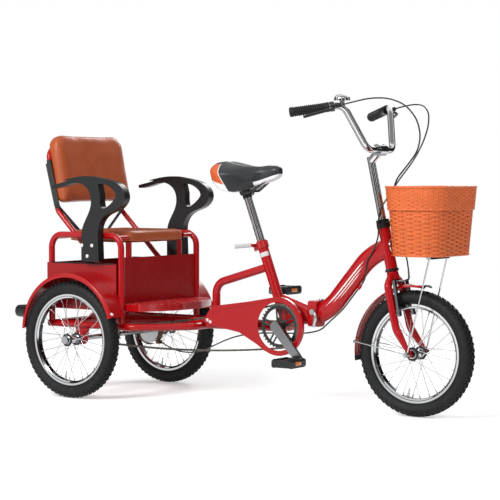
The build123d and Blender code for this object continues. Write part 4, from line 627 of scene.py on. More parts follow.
LEATHER = Finish("brown_leather", srgb(166, 76, 34), Slot.BROWN_LEATHER, rough=0.36, specular=0.4, drift=0.12,
                 drift_scale=14.0, gloss_drift=0.14, grain_scale=620.0, grain_cells=0.75, grain_depth=0.00022)
WOVEN = Wicker("woven_brown", srgb(216, 106, 52), Slot.WOVEN_BROWN, rough=0.4, specular=0.4, drift=0.16,
               drift_scale=30.0, grain_depth=0.00035)


# ------------------------------------------------------------------------------------------------- modelling
def turned_to(direction: Vector) -> Matrix:
    """A rotation that takes Z to this direction."""
    return direction.to_track_quat("Z", "Y").to_matrix().to_4x4()


class Workpiece:
    """One piece, modelled in a bmesh and then hung on a body of the frame."""

    def __init__(self, name: str) -> None:
        """Starts an empty mesh under the piece's name."""
        self.name = name
        self.bm = bmesh.new()

    def rod(self, start: Vector, end: Vector, radius: float, end_radius: float | None = None,
            sides: int = 16) -> "Workpiece":
        """Adds a capped round bar, or a cone where end_radius differs.

        Args:
            start: the middle of one end.
            end: the middle of the other.
            radius: the radius at the start.
            end_radius: the radius at the end, where it differs.
            sides: how many facets go round.

        Returns:
            This workpiece.
        """
        run = end - start
        bmesh.ops.create_cone(
            self.bm, cap_ends=True, segments=sides, radius1=radius,
            radius2=radius if end_radius is None else end_radius, depth=run.length,
            matrix=Matrix.Translation((start + end) / 2) @ turned_to(run),
        )
        return self

    def block(self, centre: Vector, size: Sequence[float], turn: Matrix | None = None,
              round_off: float = 0.0) -> "Workpiece":
        """Adds a box whose edges are rounded off.

        Args:
            centre: the middle of the box.
            size: its three sides.
            turn: how it is turned about its middle.
            round_off: how far the edges are bevelled.

        Returns:
            This workpiece.
        """
        matrix = Matrix.Translation(centre) @ (turn or Matrix.Identity(4)) @ Matrix.Diagonal((*size, 1.0))
        made = bmesh.ops.create_cube(self.bm, size=1.0, matrix=matrix)
        if round_off:
            edges = {e for v in made["verts"] for e in v.link_edges}
            bmesh.ops.bevel(self.bm, geom=list(edges), offset=round_off, offset_type="OFFSET", affect="EDGES",
                            segments=2, profile=0.5, material=-1, clamp_overlap=True)
        return self

    def lathe(self, profile: Sequence[tuple[float, float]], base: Vector, axis: Vector,
              steps: int = 32) -> "Workpiece":
        """Spins a profile about an axis.

        Args:
            profile: pairs of distance along the axis and radius; a closed ring repeats its first pair.
            base: where the distance is 0.
            axis: the axis to spin about.
            steps: how many facets go round.

        Returns:
            This workpiece.
        """
        out = axis.orthogonal().normalized()
        along = axis.normalized()
        closed = profile[0] == profile[-1]
        points = profile[:-1] if closed else profile
        verts = [self.bm.verts.new(base + along * d + out * max(r, 1e-6)) for d, r in points]
        edges = [self.bm.edges.new(pair) for pair in zip(verts, verts[1:])]
        if closed:
            edges.append(self.bm.edges.new((verts[-1], verts[0])))
        bmesh.ops.spin(self.bm, geom=verts + edges, cent=base, axis=along, dvec=(0, 0, 0), angle=tau,
                       steps=steps, use_merge=True)
        return self

    def prism(self, outline: Sequence[Vector], depth: Vector) -> "Workpiece":
        """Adds a flat outline drawn out by a vector.

        Args:
            outline: the corners in order.
            depth: how far and which way they are drawn.

        Returns:
            This workpiece.
        """
        face = self.bm.faces.new([self.bm.verts.new(p) for p in outline])
        made = bmesh.ops.extrude_face_region(self.bm, geom=[face])
        moved = [g for g in made["geom"] if isinstance(g, bmesh.types.BMVert)]
        bmesh.ops.translate(self.bm, verts=moved, vec=depth)
        return self

    def bolt(self, spot: Vector, outward: Vector, radius: float, height: float) -> "Workpiece":
        """Adds a domed bolt head on a washer.

        Args:
            spot: where the washer lies.
            outward: the direction that the head faces.
            radius: the head's radius.
            height: how far it stands out.

        Returns:
            This workpiece.
        """
        profile = [(0.0, 0.0), (0.0, radius * 1.5), (height * 0.3, radius * 1.5), (height * 0.35, radius),
                   (height * 0.8, radius * 0.86), (height, radius * 0.45), (height * 1.05, 0.0)]
        return self.lathe(profile, spot, outward, 12)

    def around(self, centre: Vector, axis: Vector, count: int) -> "Workpiece":
        """Repeats everything made so far evenly about an axis.

        Args:
            centre: a point of the axis.
            axis: its direction.
            count: how many copies there are in all.

        Returns:
            This workpiece.
        """
        turn = tau / count
        geom = self.bm.verts[:] + self.bm.edges[:] + self.bm.faces[:]
        bmesh.ops.spin(self.bm, geom=geom, cent=centre, axis=axis, dvec=(0, 0, 0), angle=tau - turn,
                       steps=count - 1, use_duplicate=True)
        return self

    def hang(self, finish: Finish, body: str, smooth: float = 35.0,
             keep_normals: bool = False) -> bpy.types.Object:
        """Turns the mesh into an object that rides on a body.

        Args:
            finish: the piece's finish.
            body: the body it moves with.
            smooth: the angle in degrees under which neighbouring faces shade as one.
            keep_normals: True leaves the faces' direction as the operators made it.

        Returns:
            The finished object.
        """
        bmesh.ops.remove_doubles(self.bm, verts=self.bm.verts[:], dist=2e-6)
        if not keep_normals:
            bmesh.ops.recalc_face_normals(self.bm, faces=self.bm.faces[:])
        mesh = bpy.data.meshes.new(self.name)
        self.bm.to_mesh(mesh)
        self.bm.free()
        mesh.polygons.foreach_set("use_smooth", [True] * len(mesh.polygons))
        mesh.set_sharp_from_angle(angle=radians(smooth))
        return hang_mesh(self.name, mesh, finish, body)


def hang_mesh(name: str, mesh: bpy.types.Mesh, finish: Finish, body: str) -> bpy.types.Object:
    """Links a mesh as a piece.

    Args:
        name: the piece's name.
        mesh: its mesh, already in place.
        finish: its finish.
        body: the body it moves with.

    Returns:
        The object.
    """
    piece = bpy.data.objects.new(name, mesh)
    bpy.context.scene.collection.objects.link(piece)
    mesh.materials.clear()
    mesh.materials.append(finish.material())
    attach(piece, body)
    return piece


def smooth(bm: bmesh.types.BMesh, times: int) -> None:
    """Smooths a whole mesh this many times."""
    for _ in range(times):
        bmesh.ops.smooth_vert(bm, verts=bm.verts[:], factor=0.5, use_axis_x=True, use_axis_y=True,
                              use_axis_z=True)


def merged_copy(node: str) -> bmesh.types.BMesh:
    """Copies a CAD node's mesh and joins its loose triangles.

    Args:
        node: the node's name.

    Returns:
        The copy.
    """
    bm = bmesh.new()
    bm.from_mesh(frame["nodes"][node].data)
    bmesh.ops.remove_doubles(bm, verts=bm.verts[:], dist=1e-5)
    return bm


def wire_mesh(name: str, points: Sequence[Vector], radius: float, order: int = 3, sides: int = 3,
              closed: bool = False, steps: int = 8) -> bpy.types.Mesh:
    """A round wire through a smooth curve with these control points.

    Args:
        name: the mesh's name.
        points: the control points.
        radius: the wire's radius.
        order: 2 for straight runs, 3 and up for a smooth curve.
        sides: the bevel's resolution.
        closed: True joins the last point to the first.
        steps: how finely each stretch is divided.

    Returns:
        The mesh.
    """
    curve = bpy.data.curves.new(name, "CURVE")
    curve.dimensions = "3D"
    curve.bevel_depth = radius
    curve.bevel_resolution = sides
    curve.use_fill_caps = True
    spline = curve.splines.new("NURBS")
    spline.points.add(len(points) - 1)
    for slot, point in zip(spline.points, points):
        slot.co = (*point, 1.0)
    spline.use_cyclic_u = closed
    spline.order_u = order
    spline.use_endpoint_u = not closed
    spline.resolution_u = steps
    holder = bpy.data.objects.new(name, curve)
    bpy.context.scene.collection.objects.link(holder)
    bpy.context.view_layer.update()
    made = bpy.data.meshes.new_from_object(holder.evaluated_get(bpy.context.evaluated_depsgraph_get()))
    bpy.data.objects.remove(holder)
    bpy.data.curves.remove(curve)
    made.polygons.foreach_set("use_smooth", [True] * len(made.polygons))
    made.set_sharp_from_angle(angle=radians(50))
    return made


def wire(name: str, points: Sequence[Vector], radius: float, finish: Finish, body: str,
         **how: object) -> bpy.types.Object:
    """A round wire hung on a body as its own piece."""
    return hang_mesh(name, wire_mesh(name, points, radius, **how), finish, body)


# ---------------------------------------------------------------------------------------------------- wheels
@dataclass
class Wheel:
    """The moulded tyre, the spoke nipples and the valve of one wheel."""

    label: str
    body: str
    blocks: int = 62
    spokes: int = 14
    lean: float = radians(2 * 360 / 14)
    rim_r: float = 0.144
    hub_hole_r: float = 0.0185

    @property
    def centre(self) -> Vector:
        """The middle of the wheel, from its CAD tyre."""
        low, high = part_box(f"{self.label}_tyre")
        return (low + high) / 2

    @property
    def radius(self) -> float:
        """The tyre's outer radius."""
        low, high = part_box(f"{self.label}_tyre")
        return (high.z - low.z) / 2

    @property
    def half_width(self) -> float:
        """Half of the tyre's width."""
        low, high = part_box(f"{self.label}_tyre")
        return (high.y - low.y) / 2

    def tyre(self) -> None:
        """Builds the casing and its rows of tread blocks in place of the plain tyre."""
        top, half = self.radius, self.half_width
        rubber = Rubber(f"tyre_black_{self.label}", srgb(17, 18, 19), Slot.TYRE_BLACK, rough=0.6,
                        specular=0.3, drift=0.16, gloss_drift=0.12, grain_scale=900.0, grain_depth=0.00025,
                        centre=tuple(self.centre))
        side = [(0.0113, 0.1545), (0.0113, 0.1605), (0.0165, 0.1625), (0.0208, 0.1672), (0.0236, 0.1732),
                (half - 0.0002, 0.1795), (half - 0.0004, 0.1835), (half - 0.0016, 0.1858),
                (half - 0.0024, 0.1895), (0.0185, 0.1943), (0.0120, top - 0.0052), (0.0, top - 0.0036)]
        ring = side + [(-y, r) for y, r in reversed(side[:-1])]
        casing = Workpiece(f"{self.label}_tyre_casing")
        casing.lathe([*ring, ring[0]], self.centre, Y, 96)
        made = casing.hang(rubber, self.body, smooth=50)
        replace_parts(made, f"{self.label}_tyre")
        tread = Workpiece(f"{self.label}_tyre_blocks")
        step = tau / self.blocks
        for side_y, phase in ((1, 0.0), (-1, 0.5)):
            for y, r, tilt, size, slip in (
                (0.0048, top - 0.0022, 5, (0.0105, 0.0078, 0.0042), 0.0),
                (0.0142, top - 0.0046, 24, (0.0088, 0.0066, 0.0052), 0.5),
                (0.0205, top - 0.0114, 52, (0.0098, 0.0074, 0.0050), 0.0),
            ):
                angle = (slip + phase) * step
                turn = Matrix.Rotation(angle, 4, "Y") @ Matrix.Rotation(-side_y * radians(tilt), 4, "X")
                spot = Matrix.Rotation(angle, 3, "Y") @ Vector((0, side_y * y, r))
                tread.block(self.centre + spot, size, turn, 0.0009)
        tread.around(self.centre, Y, self.blocks)
        tread.hang(rubber, self.body, smooth=20, keep_normals=True)

    def nipples(self) -> None:
        """Sets a nipple where each spoke enters the rim, and the valve between two of them."""
        piece = Workpiece(f"{self.label}_nipples")
        for flange in (-1, 1):
            for number in range(self.spokes):
                lean = self.lean if number % 2 else -self.lean
                hub = tau / self.spokes * (number + 0.25 * flange)
                rim = hub + lean
                inner = self.centre + Vector((cos(hub), flange * 1.3, sin(hub))) * self.hub_hole_r
                outer = self.centre + Vector((cos(rim), 0, sin(rim))) * (self.rim_r + 0.002)
                outer.y += flange * 0.0025
                run = (outer - inner).normalized()
                piece.rod(outer - run * 0.013, outer - run * 0.001, 0.0017, 0.0023, 8)
        valve = radians(258)
        out = Vector((cos(valve), 0, sin(valve)))
        start = self.centre + out * (self.rim_r + 0.002)
        piece.rod(start, start - out * 0.014, 0.0042, 0.0038, 12)
        piece.rod(start - out * 0.014, start - out * 0.031, 0.0026, 0.0024, 12)
        piece.hang(SILVER, self.body)

    def plating(self) -> None:
        """Chromes the rim and spokes and blackens the hub's rings."""
        metal = WheelMetal(f"wheel_chrome_{self.label}", (0.6, 0.61, 0.62), Slot.CHROME, rough=0.12,
                           metal=1.0, drift=0.05, centre=tuple(self.centre))
        metal.on(f"{self.label}_wheel")

    def build(self) -> None:
        """Builds everything on this wheel."""
        self.tyre()
        self.nipples()
        self.plating()


# ----------------------------------------------------------------------------------------------------- chain
@dataclass
class ChainRun:
    """The roller chain, link by link, round the sprocket and the chainring with a little sag."""

    pitch: float = 0.0127
    sag: float = 0.015
    side: float = -0.045
    ring_teeth: int = 36
    sprocket_teeth: int = 16
    plate_half_height: float = 0.0041
    plate_waist: float = 0.0030
    plate_thick: float = 0.001
    inner_half_width: float = 0.002
    roller_r: float = 0.0037

    def arcs(self) -> list[tuple[Vector, float, float, float]]:
        """The loop as centre, radius, start angle and sweep, in the plane of the chain.

        Returns:
            The front wrap, the lower run, the rear wrap and the upper run, each joined to the next.
        """
        ring_r = self.pitch / (2 * sin(pi / self.ring_teeth))
        sprocket_r = self.pitch / (2 * sin(pi / self.sprocket_teeth))
        rear = Vector((REAR_AXLE.x, REAR_AXLE.z))
        front = Vector((CRANK_AXLE.x, CRANK_AXLE.z))
        span = (front - rear).length
        along = (front - rear) / span
        bow_r = span**2 / (8 * self.sag)

        def centre(rear_reach: float, front_reach: float) -> Vector:
            """The point above the drive at these distances from both axles."""
            base = (rear_reach**2 - front_reach**2 + span**2) / (2 * span)
            return rear + along * base + Vector((-along.y, along.x)) * sqrt(rear_reach**2 - base**2)

        upper = centre(bow_r + sprocket_r, bow_r + ring_r)
        lower = centre(bow_r - sprocket_r, bow_r - ring_r)

        def angle(of: Vector, about: Vector) -> float:
            """The direction from one point to another."""
            return atan2(of.y - about.y, of.x - about.x)

        top, under = angle(upper, front), angle(front, lower)
        rear_under, rear_top = angle(rear, lower), angle(upper, rear)
        return [
            (front, ring_r, top, -((top - under) % tau)),
            (lower, bow_r, under, -((under - rear_under) % tau)),
            (rear, sprocket_r, rear_under, -((rear_under - rear_top) % tau)),
            (upper, bow_r, rear_top + pi, (top - rear_top) % tau),
        ]

    def pins(self) -> list[Vector]:
        """The place of each pin, one pitch apart along the loop."""
        arcs = self.arcs()
        length = sum(r * abs(sweep) for _, r, _, sweep in arcs)
        count = 2 * round(length / self.pitch / 2)
        step = length / count
        tooth = tau / self.ring_teeth
        front, ring_r, top, sweep = arcs[0]
        first = (top - tooth / 2) % tooth * ring_r
        spots = []
        for number in range(count):
            rest = (first + number * step) % length
            for about, r, start, sweep in arcs:
                if rest <= r * abs(sweep):
                    turn = start + (rest / r if sweep > 0 else -rest / r)
                    spots.append(Vector((about.x + r * cos(turn), self.side, about.y + r * sin(turn))))
                    break
                rest -= r * abs(sweep)
        return spots

    def build(self) -> None:
        """Builds the plates, rollers and pins in place of the plain loop."""
        piece = Workpiece("chain_links")
        pins = self.pins()
        for number, start in enumerate(pins):
            end = pins[(number + 1) % len(pins)]
            along = (end - start).normalized()
            across = along.cross(Y)
            outline = []
            for spot, way in ((end, 1), (start, -1)):
                for turn in (-60, -20, 20, 60):
                    lean = radians(turn)
                    out = along * cos(lean) + across * sin(lean)
                    outline.append(spot + way * out * self.plate_half_height)
                outline.append((start + end) / 2 + way * across * self.plate_waist)
            offset = self.inner_half_width + (self.plate_thick if number % 2 else 0)
            for way in (-1, 1):
                shift = Y * way * offset
                piece.prism([p + shift for p in outline], Y * way * self.plate_thick)
            reach = self.inner_half_width + 2 * self.plate_thick
            inner = Y * self.inner_half_width
            piece.rod(start - inner, start + inner, self.roller_r, sides=10)
            piece.rod(start - Y * (reach + 0.0005), start + Y * (reach + 0.0005), 0.0016, sides=8)
        made = piece.hang(CHAIN_STEEL, "rear_frame", smooth=40)
        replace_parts(made, "chain")


# ---------------------------------------------------------------------------------------------------- basket
@dataclass
class Basket:
    """A basket of flat cane: wefts that pass before and behind the stakes, a finer upper band and a rim."""

    stakes: int = 28
    rows: int = 22
    band_height: float = 0.074
    band_out: float = 0.0052
    band_rows: int = 12
    wall: float = 0.006
    top_half: tuple[float, float] = (0.109, 0.154)
    bottom_half: tuple[float, float] = (0.093, 0.132)
    top_corner: float = 0.080
    bottom_corner: float = 0.068

    def __post_init__(self) -> None:
        """Reads the basket's place from its CAD node."""
        self.low, self.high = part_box("basket")
        self.middle = (self.low + self.high) / 2

    def outline(self, share: float, height: float, outward: float) -> tuple[Vector, Vector]:
        """A point of the wall.

        Args:
            share: how far round the wall, from 0 to 1, counted from the front.
            height: the height above the ground.
            outward: how far outside the wall's outer face.

        Returns:
            The point and the direction that faces out of the basket.
        """
        rise = (height - self.low.z) / (self.high.z - self.low.z)
        hx = self.bottom_half[0] + (self.top_half[0] - self.bottom_half[0]) * rise
        hy = self.bottom_half[1] + (self.top_half[1] - self.bottom_half[1]) * rise
        corner = self.bottom_corner + (self.top_corner - self.bottom_corner) * rise
        flat_x, flat_y = hx - corner, hy - corner
        quarter = flat_x + flat_y + corner * pi / 2
        side, rest = divmod(share % 1.0 * 4 * quarter, quarter)
        if side % 2:
            rest = quarter - rest
        if rest < flat_y:
            spot, out = Vector((hx, rest, 0)), Vector((1, 0, 0))
        elif rest < flat_y + corner * pi / 2:
            turn = (rest - flat_y) / corner
            out = Vector((cos(turn), sin(turn), 0))
            spot = Vector((flat_x, flat_y, 0)) + out * corner
        else:
            spot, out = Vector((quarter - rest, hy, 0)), Vector((0, 1, 0))
        flip = Vector(((1, 1), (-1, 1), (-1, -1), (1, -1))[int(side) % 4]).to_3d()
        flip.z = 1
        spot, out = spot * flip, out * flip
        spot += out * outward
        return Vector((self.middle.x + spot.x, self.middle.y + spot.y, height)), out

    def strand(self, piece: Workpiece, low: float, high: float, outward: Callable[[float], float],
               steps: int, thick: float) -> None:
        """Adds one flat strand that runs round the wall.

        Args:
            piece: the workpiece that takes it.
            low: the strand's lower edge.
            high: its upper edge.
            outward: how far its middle lies outside the wall at each share of the way round.
            steps: how many facets go round.
            thick: the strand's thickness.
        """
        verts = bmesh.ops.create_grid(piece.bm, x_segments=steps, y_segments=2, size=1)["verts"]
        for v in verts:
            share = (v.co.x + 1) / 2
            crown = thick * 0.45 * (1 - abs(v.co.y))
            height = (low + high) / 2 + v.co.y * (high - low) / 2
            v.co, _ = self.outline(share, height, outward(share) + crown)
        faces = list({f for v in verts for f in v.link_faces})
        bmesh.ops.remove_doubles(piece.bm, verts=verts, dist=1e-6)
        bmesh.ops.solidify(piece.bm, geom=faces, thickness=thick)

    def wefts(self) -> bpy.types.Object:
        """The coarse lower rows, each one stake out of step with the next."""
        piece = Workpiece("basket_wefts")
        foot, head = self.low.z + 0.004, self.high.z - self.band_height
        pitch = (head - foot) / self.rows
        for row in range(self.rows):
            swing = 1 if row % 2 else -1

            def outward(share: float, swing: int = swing) -> float:
                """In and out of the stakes with long flat floats."""
                wave = cos(pi * self.stakes * share)
                return -self.wall / 2 + swing * (0.0021 if wave > 0 else -0.0021) * abs(wave) ** 0.7

            low = foot + row * pitch
            self.strand(piece, low - 0.0002, low + pitch + 0.0002, outward, self.stakes * 8, 0.0016)
        return piece.hang(WOVEN, "steering", smooth=60, keep_normals=True)

    def band(self) -> bpy.types.Object:
        """The finer upper rows that stand a little proud."""
        piece = Workpiece("basket_band")
        foot, head = self.high.z - self.band_height, self.high.z - 0.004
        pitch = (head - foot) / self.band_rows
        for row in range(self.band_rows):
            swing = 1 if row % 2 else -1

            def outward(share: float, swing: int = swing) -> float:
                """A finer wave round twice as many stakes."""
                return self.band_out - 0.003 + swing * 0.0011 * cos(tau * self.stakes * share)

            low = foot + row * pitch
            self.strand(piece, low - 0.0001, low + pitch + 0.0001, outward, self.stakes * 8, 0.0016)
        return piece.hang(WOVEN, "steering", smooth=60, keep_normals=True)

    def uprights(self) -> bpy.types.Object:
        """The stakes of the lower wall and the finer ones of the band."""
        piece = Workpiece("basket_stakes")
        for count, foot, head, outward, width, thick in (
            (self.stakes, self.low.z + 0.002, self.high.z - self.band_height + 0.004, -self.wall / 2,
             0.0052, 0.0018),
            (self.stakes * 2, self.high.z - self.band_height, self.high.z - 0.002, self.band_out - 0.003,
             0.0040, 0.0016),
        ):
            for number in range(count):
                start, out = self.outline(number / count, foot, outward)
                end, _ = self.outline(number / count, head, outward)
                run = end - start
                across = out.cross(run.normalized()).normalized()
                face = run.normalized().cross(across)
                turn = Matrix((across, face, run.normalized())).transposed().to_4x4()
                piece.block((start + end) / 2, (width, thick, run.length), turn, 0.0005)
        return piece.hang(WOVEN, "steering")

    def rim(self) -> None:
        """Rolled borders at the top, under the band and round the foot."""
        for name, height, outward, radius in (
            ("basket_rim", self.high.z - 0.0042, self.band_out - 0.0036, 0.0042),
            ("basket_band_edge", self.high.z - self.band_height, self.band_out - 0.0030, 0.0024),
            ("basket_foot", self.low.z + 0.0034, -0.0034, 0.0034),
        ):
            points = [self.outline(i / 56, height, outward)[0] for i in range(56)]
            wire(name, points, radius, WOVEN, "steering", closed=True, sides=3, steps=4)

    def floor(self) -> None:
        """The woven base: strips that cross over and under one another."""
        piece = Workpiece("basket_floor")
        hx, hy, corner = *self.bottom_half, self.bottom_corner
        level = self.low.z + 0.004
        for axis, half, other, count in ((0, hx, hy, 17), (1, hy, hx, 12)):
            for number in range(count):
                offset = (number + 0.5) / count * 2 * other - other
                over = max(abs(offset) - (other - corner), 0.0)
                reach = half - corner + sqrt(max(corner**2 - over**2, 0.0)) - 0.004
                centre = self.middle.copy()
                centre.z = level + (0.0007 if number % 2 else -0.0007)
                centre[1 - axis] += offset
                size = [0.0, 0.0, 0.0013]
                size[axis], size[1 - axis] = 2 * reach, 2 * other / count - 0.0012
                piece.block(centre, size, None, 0.0004)
        piece.hang(WOVEN, "steering")

    def build(self) -> None:
        """Builds the whole basket in place of its plain shell."""
        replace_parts(self.wefts(), "basket")
        self.band()
        self.uprights()
        self.rim()
        self.floor()


# ------------------------------------------------------------------------------------------------ soft seats
@dataclass
class Padding:
    """A stuffed form: the CAD solid's skin, evenly meshed and swollen by cloth pressure."""

    name: str
    node: str
    body: str
    finish: Finish
    voxel: float = 0.005
    pressure: float = 4.0
    stiffness: float = 25.0
    bending: float = 2.0
    frames: int = 20
    cap: float = 0.006
    inset: float = 0.003
    fill: float = 0.9
    first_smoothing: int = 3
    calm: int = 0
    keep: Callable[[Vector], float] = lambda spot: 1.0
    shape: Callable[[Vector], Vector] = lambda spot: spot
    form: Workpiece | None = None

    def skin(self) -> bpy.types.Mesh:
        """The form to be stuffed: a merged copy of the CAD solid's mesh unless one is given."""
        bm = self.form.bm if self.form else merged_copy(self.node)
        bmesh.ops.recalc_face_normals(bm, faces=bm.faces[:])
        mesh = bpy.data.meshes.new(self.name)
        bm.to_mesh(mesh)
        bm.free()
        return mesh

    def settle(self, piece: bpy.types.Object) -> None:
        """Applies the modifiers of a piece to its mesh.

        Args:
            piece: the piece.
        """
        made = bpy.data.meshes.new_from_object(piece.evaluated_get(bpy.context.evaluated_depsgraph_get()))
        piece.modifiers.clear()
        piece.data = made

    def swell(self, piece: bpy.types.Object) -> None:
        """Runs the cloth, keeps each point within the cap of where it started and calms the creases.

        Args:
            piece: the evenly meshed piece.
        """
        start = [v.co.copy() for v in piece.data.vertices]
        scene = bpy.context.scene
        cloth = piece.modifiers.new("swell", "CLOTH")
        cloth.settings.use_pressure = True
        cloth.settings.uniform_pressure_force = self.pressure
        cloth.settings.effector_weights.gravity = 0.0
        cloth.settings.tension_stiffness = self.stiffness
        cloth.settings.compression_stiffness = self.stiffness
        cloth.settings.bending_stiffness = self.bending
        cloth.point_cache.frame_start = 1
        cloth.point_cache.frame_end = self.frames
        for step in range(1, self.frames + 1):
            scene.frame_set(step)
        self.settle(piece)
        scene.frame_set(1)
        bm = bmesh.new()
        bm.from_mesh(piece.data)
        bm.verts.ensure_lookup_table()
        for v, before in zip(bm.verts, start):
            move = (v.co - before) * self.keep(before)
            if move.length > self.cap:
                move = move.normalized() * self.cap
            v.co = before + move
        smooth(bm, self.calm)
        bm.to_mesh(piece.data)
        bm.free()

    def build(self) -> bpy.types.Object:
        """Builds the padded piece in place of its CAD solid.

        Returns:
            The finished piece.
        """
        piece = hang_mesh(self.name, self.skin(), self.finish, self.body)
        even = piece.modifiers.new("even", "REMESH")
        even.mode = "VOXEL"
        even.voxel_size = self.voxel
        self.settle(piece)
        for v in piece.data.vertices:
            v.co = self.shape(v.co)
        bm = bmesh.new()
        bm.from_mesh(piece.data)
        smooth(bm, self.first_smoothing)
        bm.normal_update()
        for v in bm.verts:
            v.co -= v.normal * self.inset
        bm.to_mesh(piece.data)
        bm.free()
        self.swell(piece)
        piece.data.materials.clear()
        piece.data.materials.append(self.finish.material())
        piece.data.polygons.foreach_set("use_smooth", [True] * len(piece.data.polygons))
        round_off = piece.modifiers.new("smooth", "SUBSURF")
        round_off.levels = round_off.render_levels = 1
        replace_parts(piece, self.node)
        return piece


@dataclass
class Seating:
    """The bench, its back, the armrests and the saddle."""

    back_size: tuple[float, float, float] = (0.042, 0.379, 0.244)
    back_lean: float = radians(12)
    back_top_corner: float = 0.048
    back_foot_corner: float = 0.022
    arm_rounding: float = 0.0055
    saddle_tint: Colour = srgb(34, 36, 39)
    saddle_flank: Colour = srgb(206, 88, 36)
    saddle_edge: Colour = srgb(228, 228, 230)
    saddle_piping: float = 0.003
    saddle_crown: float = 0.009

    def bench(self) -> None:
        """The bench cushion, flat below and slightly crowned above."""
        low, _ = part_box("bench_cushion")
        Padding("bench_pad", "bench_cushion", "rear_frame", LEATHER, cap=0.005, inset=0.0015, calm=6,
                keep=lambda spot: 1.0 if spot.z > low.z + 0.006 else 0.3).build()

    def back(self) -> None:
        """The back cushion with round upper corners and a soft crown."""
        thick, width, height = self.back_size
        low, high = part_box("back_cushion")
        stand = Matrix.Translation((low + high) / 2) @ Matrix.Rotation(-self.back_lean, 4, "Y")
        form = Workpiece("back_pad")
        bmesh.ops.create_cube(form.bm, size=1.0, matrix=Matrix.Diagonal((thick, width, height, 1.0)))
        for way, corner in ((1, self.back_top_corner), (-1, self.back_foot_corner)):
            across = [e for e in form.bm.edges if abs(e.verts[0].co.x - e.verts[1].co.x) > thick / 2
                      and all(v.co.z * way > 0.4 * height for v in e.verts) and e.calc_length() < 2 * thick]
            bmesh.ops.bevel(form.bm, geom=across, offset=corner, offset_type="OFFSET", affect="EDGES",
                            segments=8, profile=0.5, material=-1)
        bmesh.ops.transform(form.bm, matrix=stand, verts=form.bm.verts[:])
        Padding("back_pad", "back_cushion", "rear_frame", LEATHER, cap=0.005, inset=-0.001, calm=10,
                form=form).build()

    def arms(self) -> None:
        """The moulded armrests with their edges rounded off."""
        bm = merged_copy("armrests")
        bmesh.ops.dissolve_limit(bm, angle_limit=radians(0.6), verts=bm.verts[:], edges=bm.edges[:])
        mesh = bpy.data.meshes.new("armrests_moulded")
        bm.to_mesh(mesh)
        bm.free()
        mesh.polygons.foreach_set("use_smooth", [True] * len(mesh.polygons))
        mesh.set_sharp_from_angle(angle=radians(60))
        piece = hang_mesh("armrests_moulded", mesh, BLACK_PLASTIC, "rear_frame")
        soften = piece.modifiers.new("soften", "BEVEL")
        soften.width = self.arm_rounding
        soften.segments = 4
        soften.limit_method = "ANGLE"
        soften.angle_limit = radians(50)
        soften.use_clamp_overlap = True
        soften.harden_normals = True
        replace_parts(piece, "armrests")

    @staticmethod
    def plane_across(rear: Vector, front: Vector, facing: Vector) -> Vector:
        """The normal of a plane that crosses the saddle from side to side.

        Args:
            rear: one point of the plane.
            front: another, further forward.
            facing: the side that the normal is turned to.

        Returns:
            The normal.
        """
        normal = (front - rear).cross(Y).normalized()
        return normal if normal.dot(facing) >= 0 else -normal

    def vinyl(self, corner: Vector) -> Panelled:
        """The saddle's cover with its coloured panels.

        Args:
            corner: the front upper corner of the saddle's box.

        Returns:
            The finish.
        """
        edge_top, edge_foot = place(480, -75, 815), place(519, -98, 738)
        base_rear, base_front = place(452, -80, 757), place(519, -98, 739)
        trim_rear, trim_front = place(600, -30, 748), place(690, -10, 776)
        edge = self.plane_across(edge_top, edge_foot, -X)
        base = self.plane_across(base_rear, base_front, Z)
        under = self.plane_across(trim_rear, trim_front, -Z)
        crown = Vector((0, 0, corner.z - self.saddle_crown))
        return Panelled(
            "saddle_black", self.saddle_tint, Slot.SADDLE_BLACK, rough=0.38, specular=0.42, drift=0.12,
            drift_scale=20.0, gloss_drift=0.12, grain_scale=900.0, grain_cells=0.8, grain_depth=0.00012,
            panels=(
                (self.saddle_edge, ((edge_top + X * self.saddle_piping, edge),)),
                (self.saddle_flank, ((edge_top, edge), (base_front, base))),
                (self.saddle_tint, ((crown, Z), (X * corner.x, -X))),
                (self.saddle_edge, ((trim_rear, under), (trim_rear, X))),
            ),
        )

    def saddle(self) -> None:
        """The sprung saddle: black vinyl, orange rear flanks edged in white and white trim under the nose."""
        low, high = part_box("saddle")
        rear, nose = low.x, high.x

        def shape(spot: Vector) -> Vector:
            """Presses the middle channel in and lifts the two cheeks.

            Args:
                spot: a point of the skin.

            Returns:
                Where it goes.
            """
            moved = spot.copy()
            share = (spot.x - rear) / (nose - rear)
            if spot.z > (low.z + high.z) / 2:
                across = abs(spot.y) / 0.1
                cheek = max(0.0, 1 - abs(share - 0.2) / 0.35) * max(0.0, 1 - abs(across - 0.45) / 0.45)
                channel = max(0.0, 1 - abs(share - 0.35) / 0.4) * max(0.0, 1 - across / 0.16)
                moved.z += 0.005 * cheek - 0.006 * channel
            return moved

        Padding("saddle_pad", "saddle", "seat", self.vinyl(high), voxel=0.004, cap=0.004, inset=0.002,
                shape=shape).build()

    def build(self) -> None:
        """Builds the soft pieces and the armrests."""
        self.bench()
        self.back()
        self.arms()
        self.saddle()


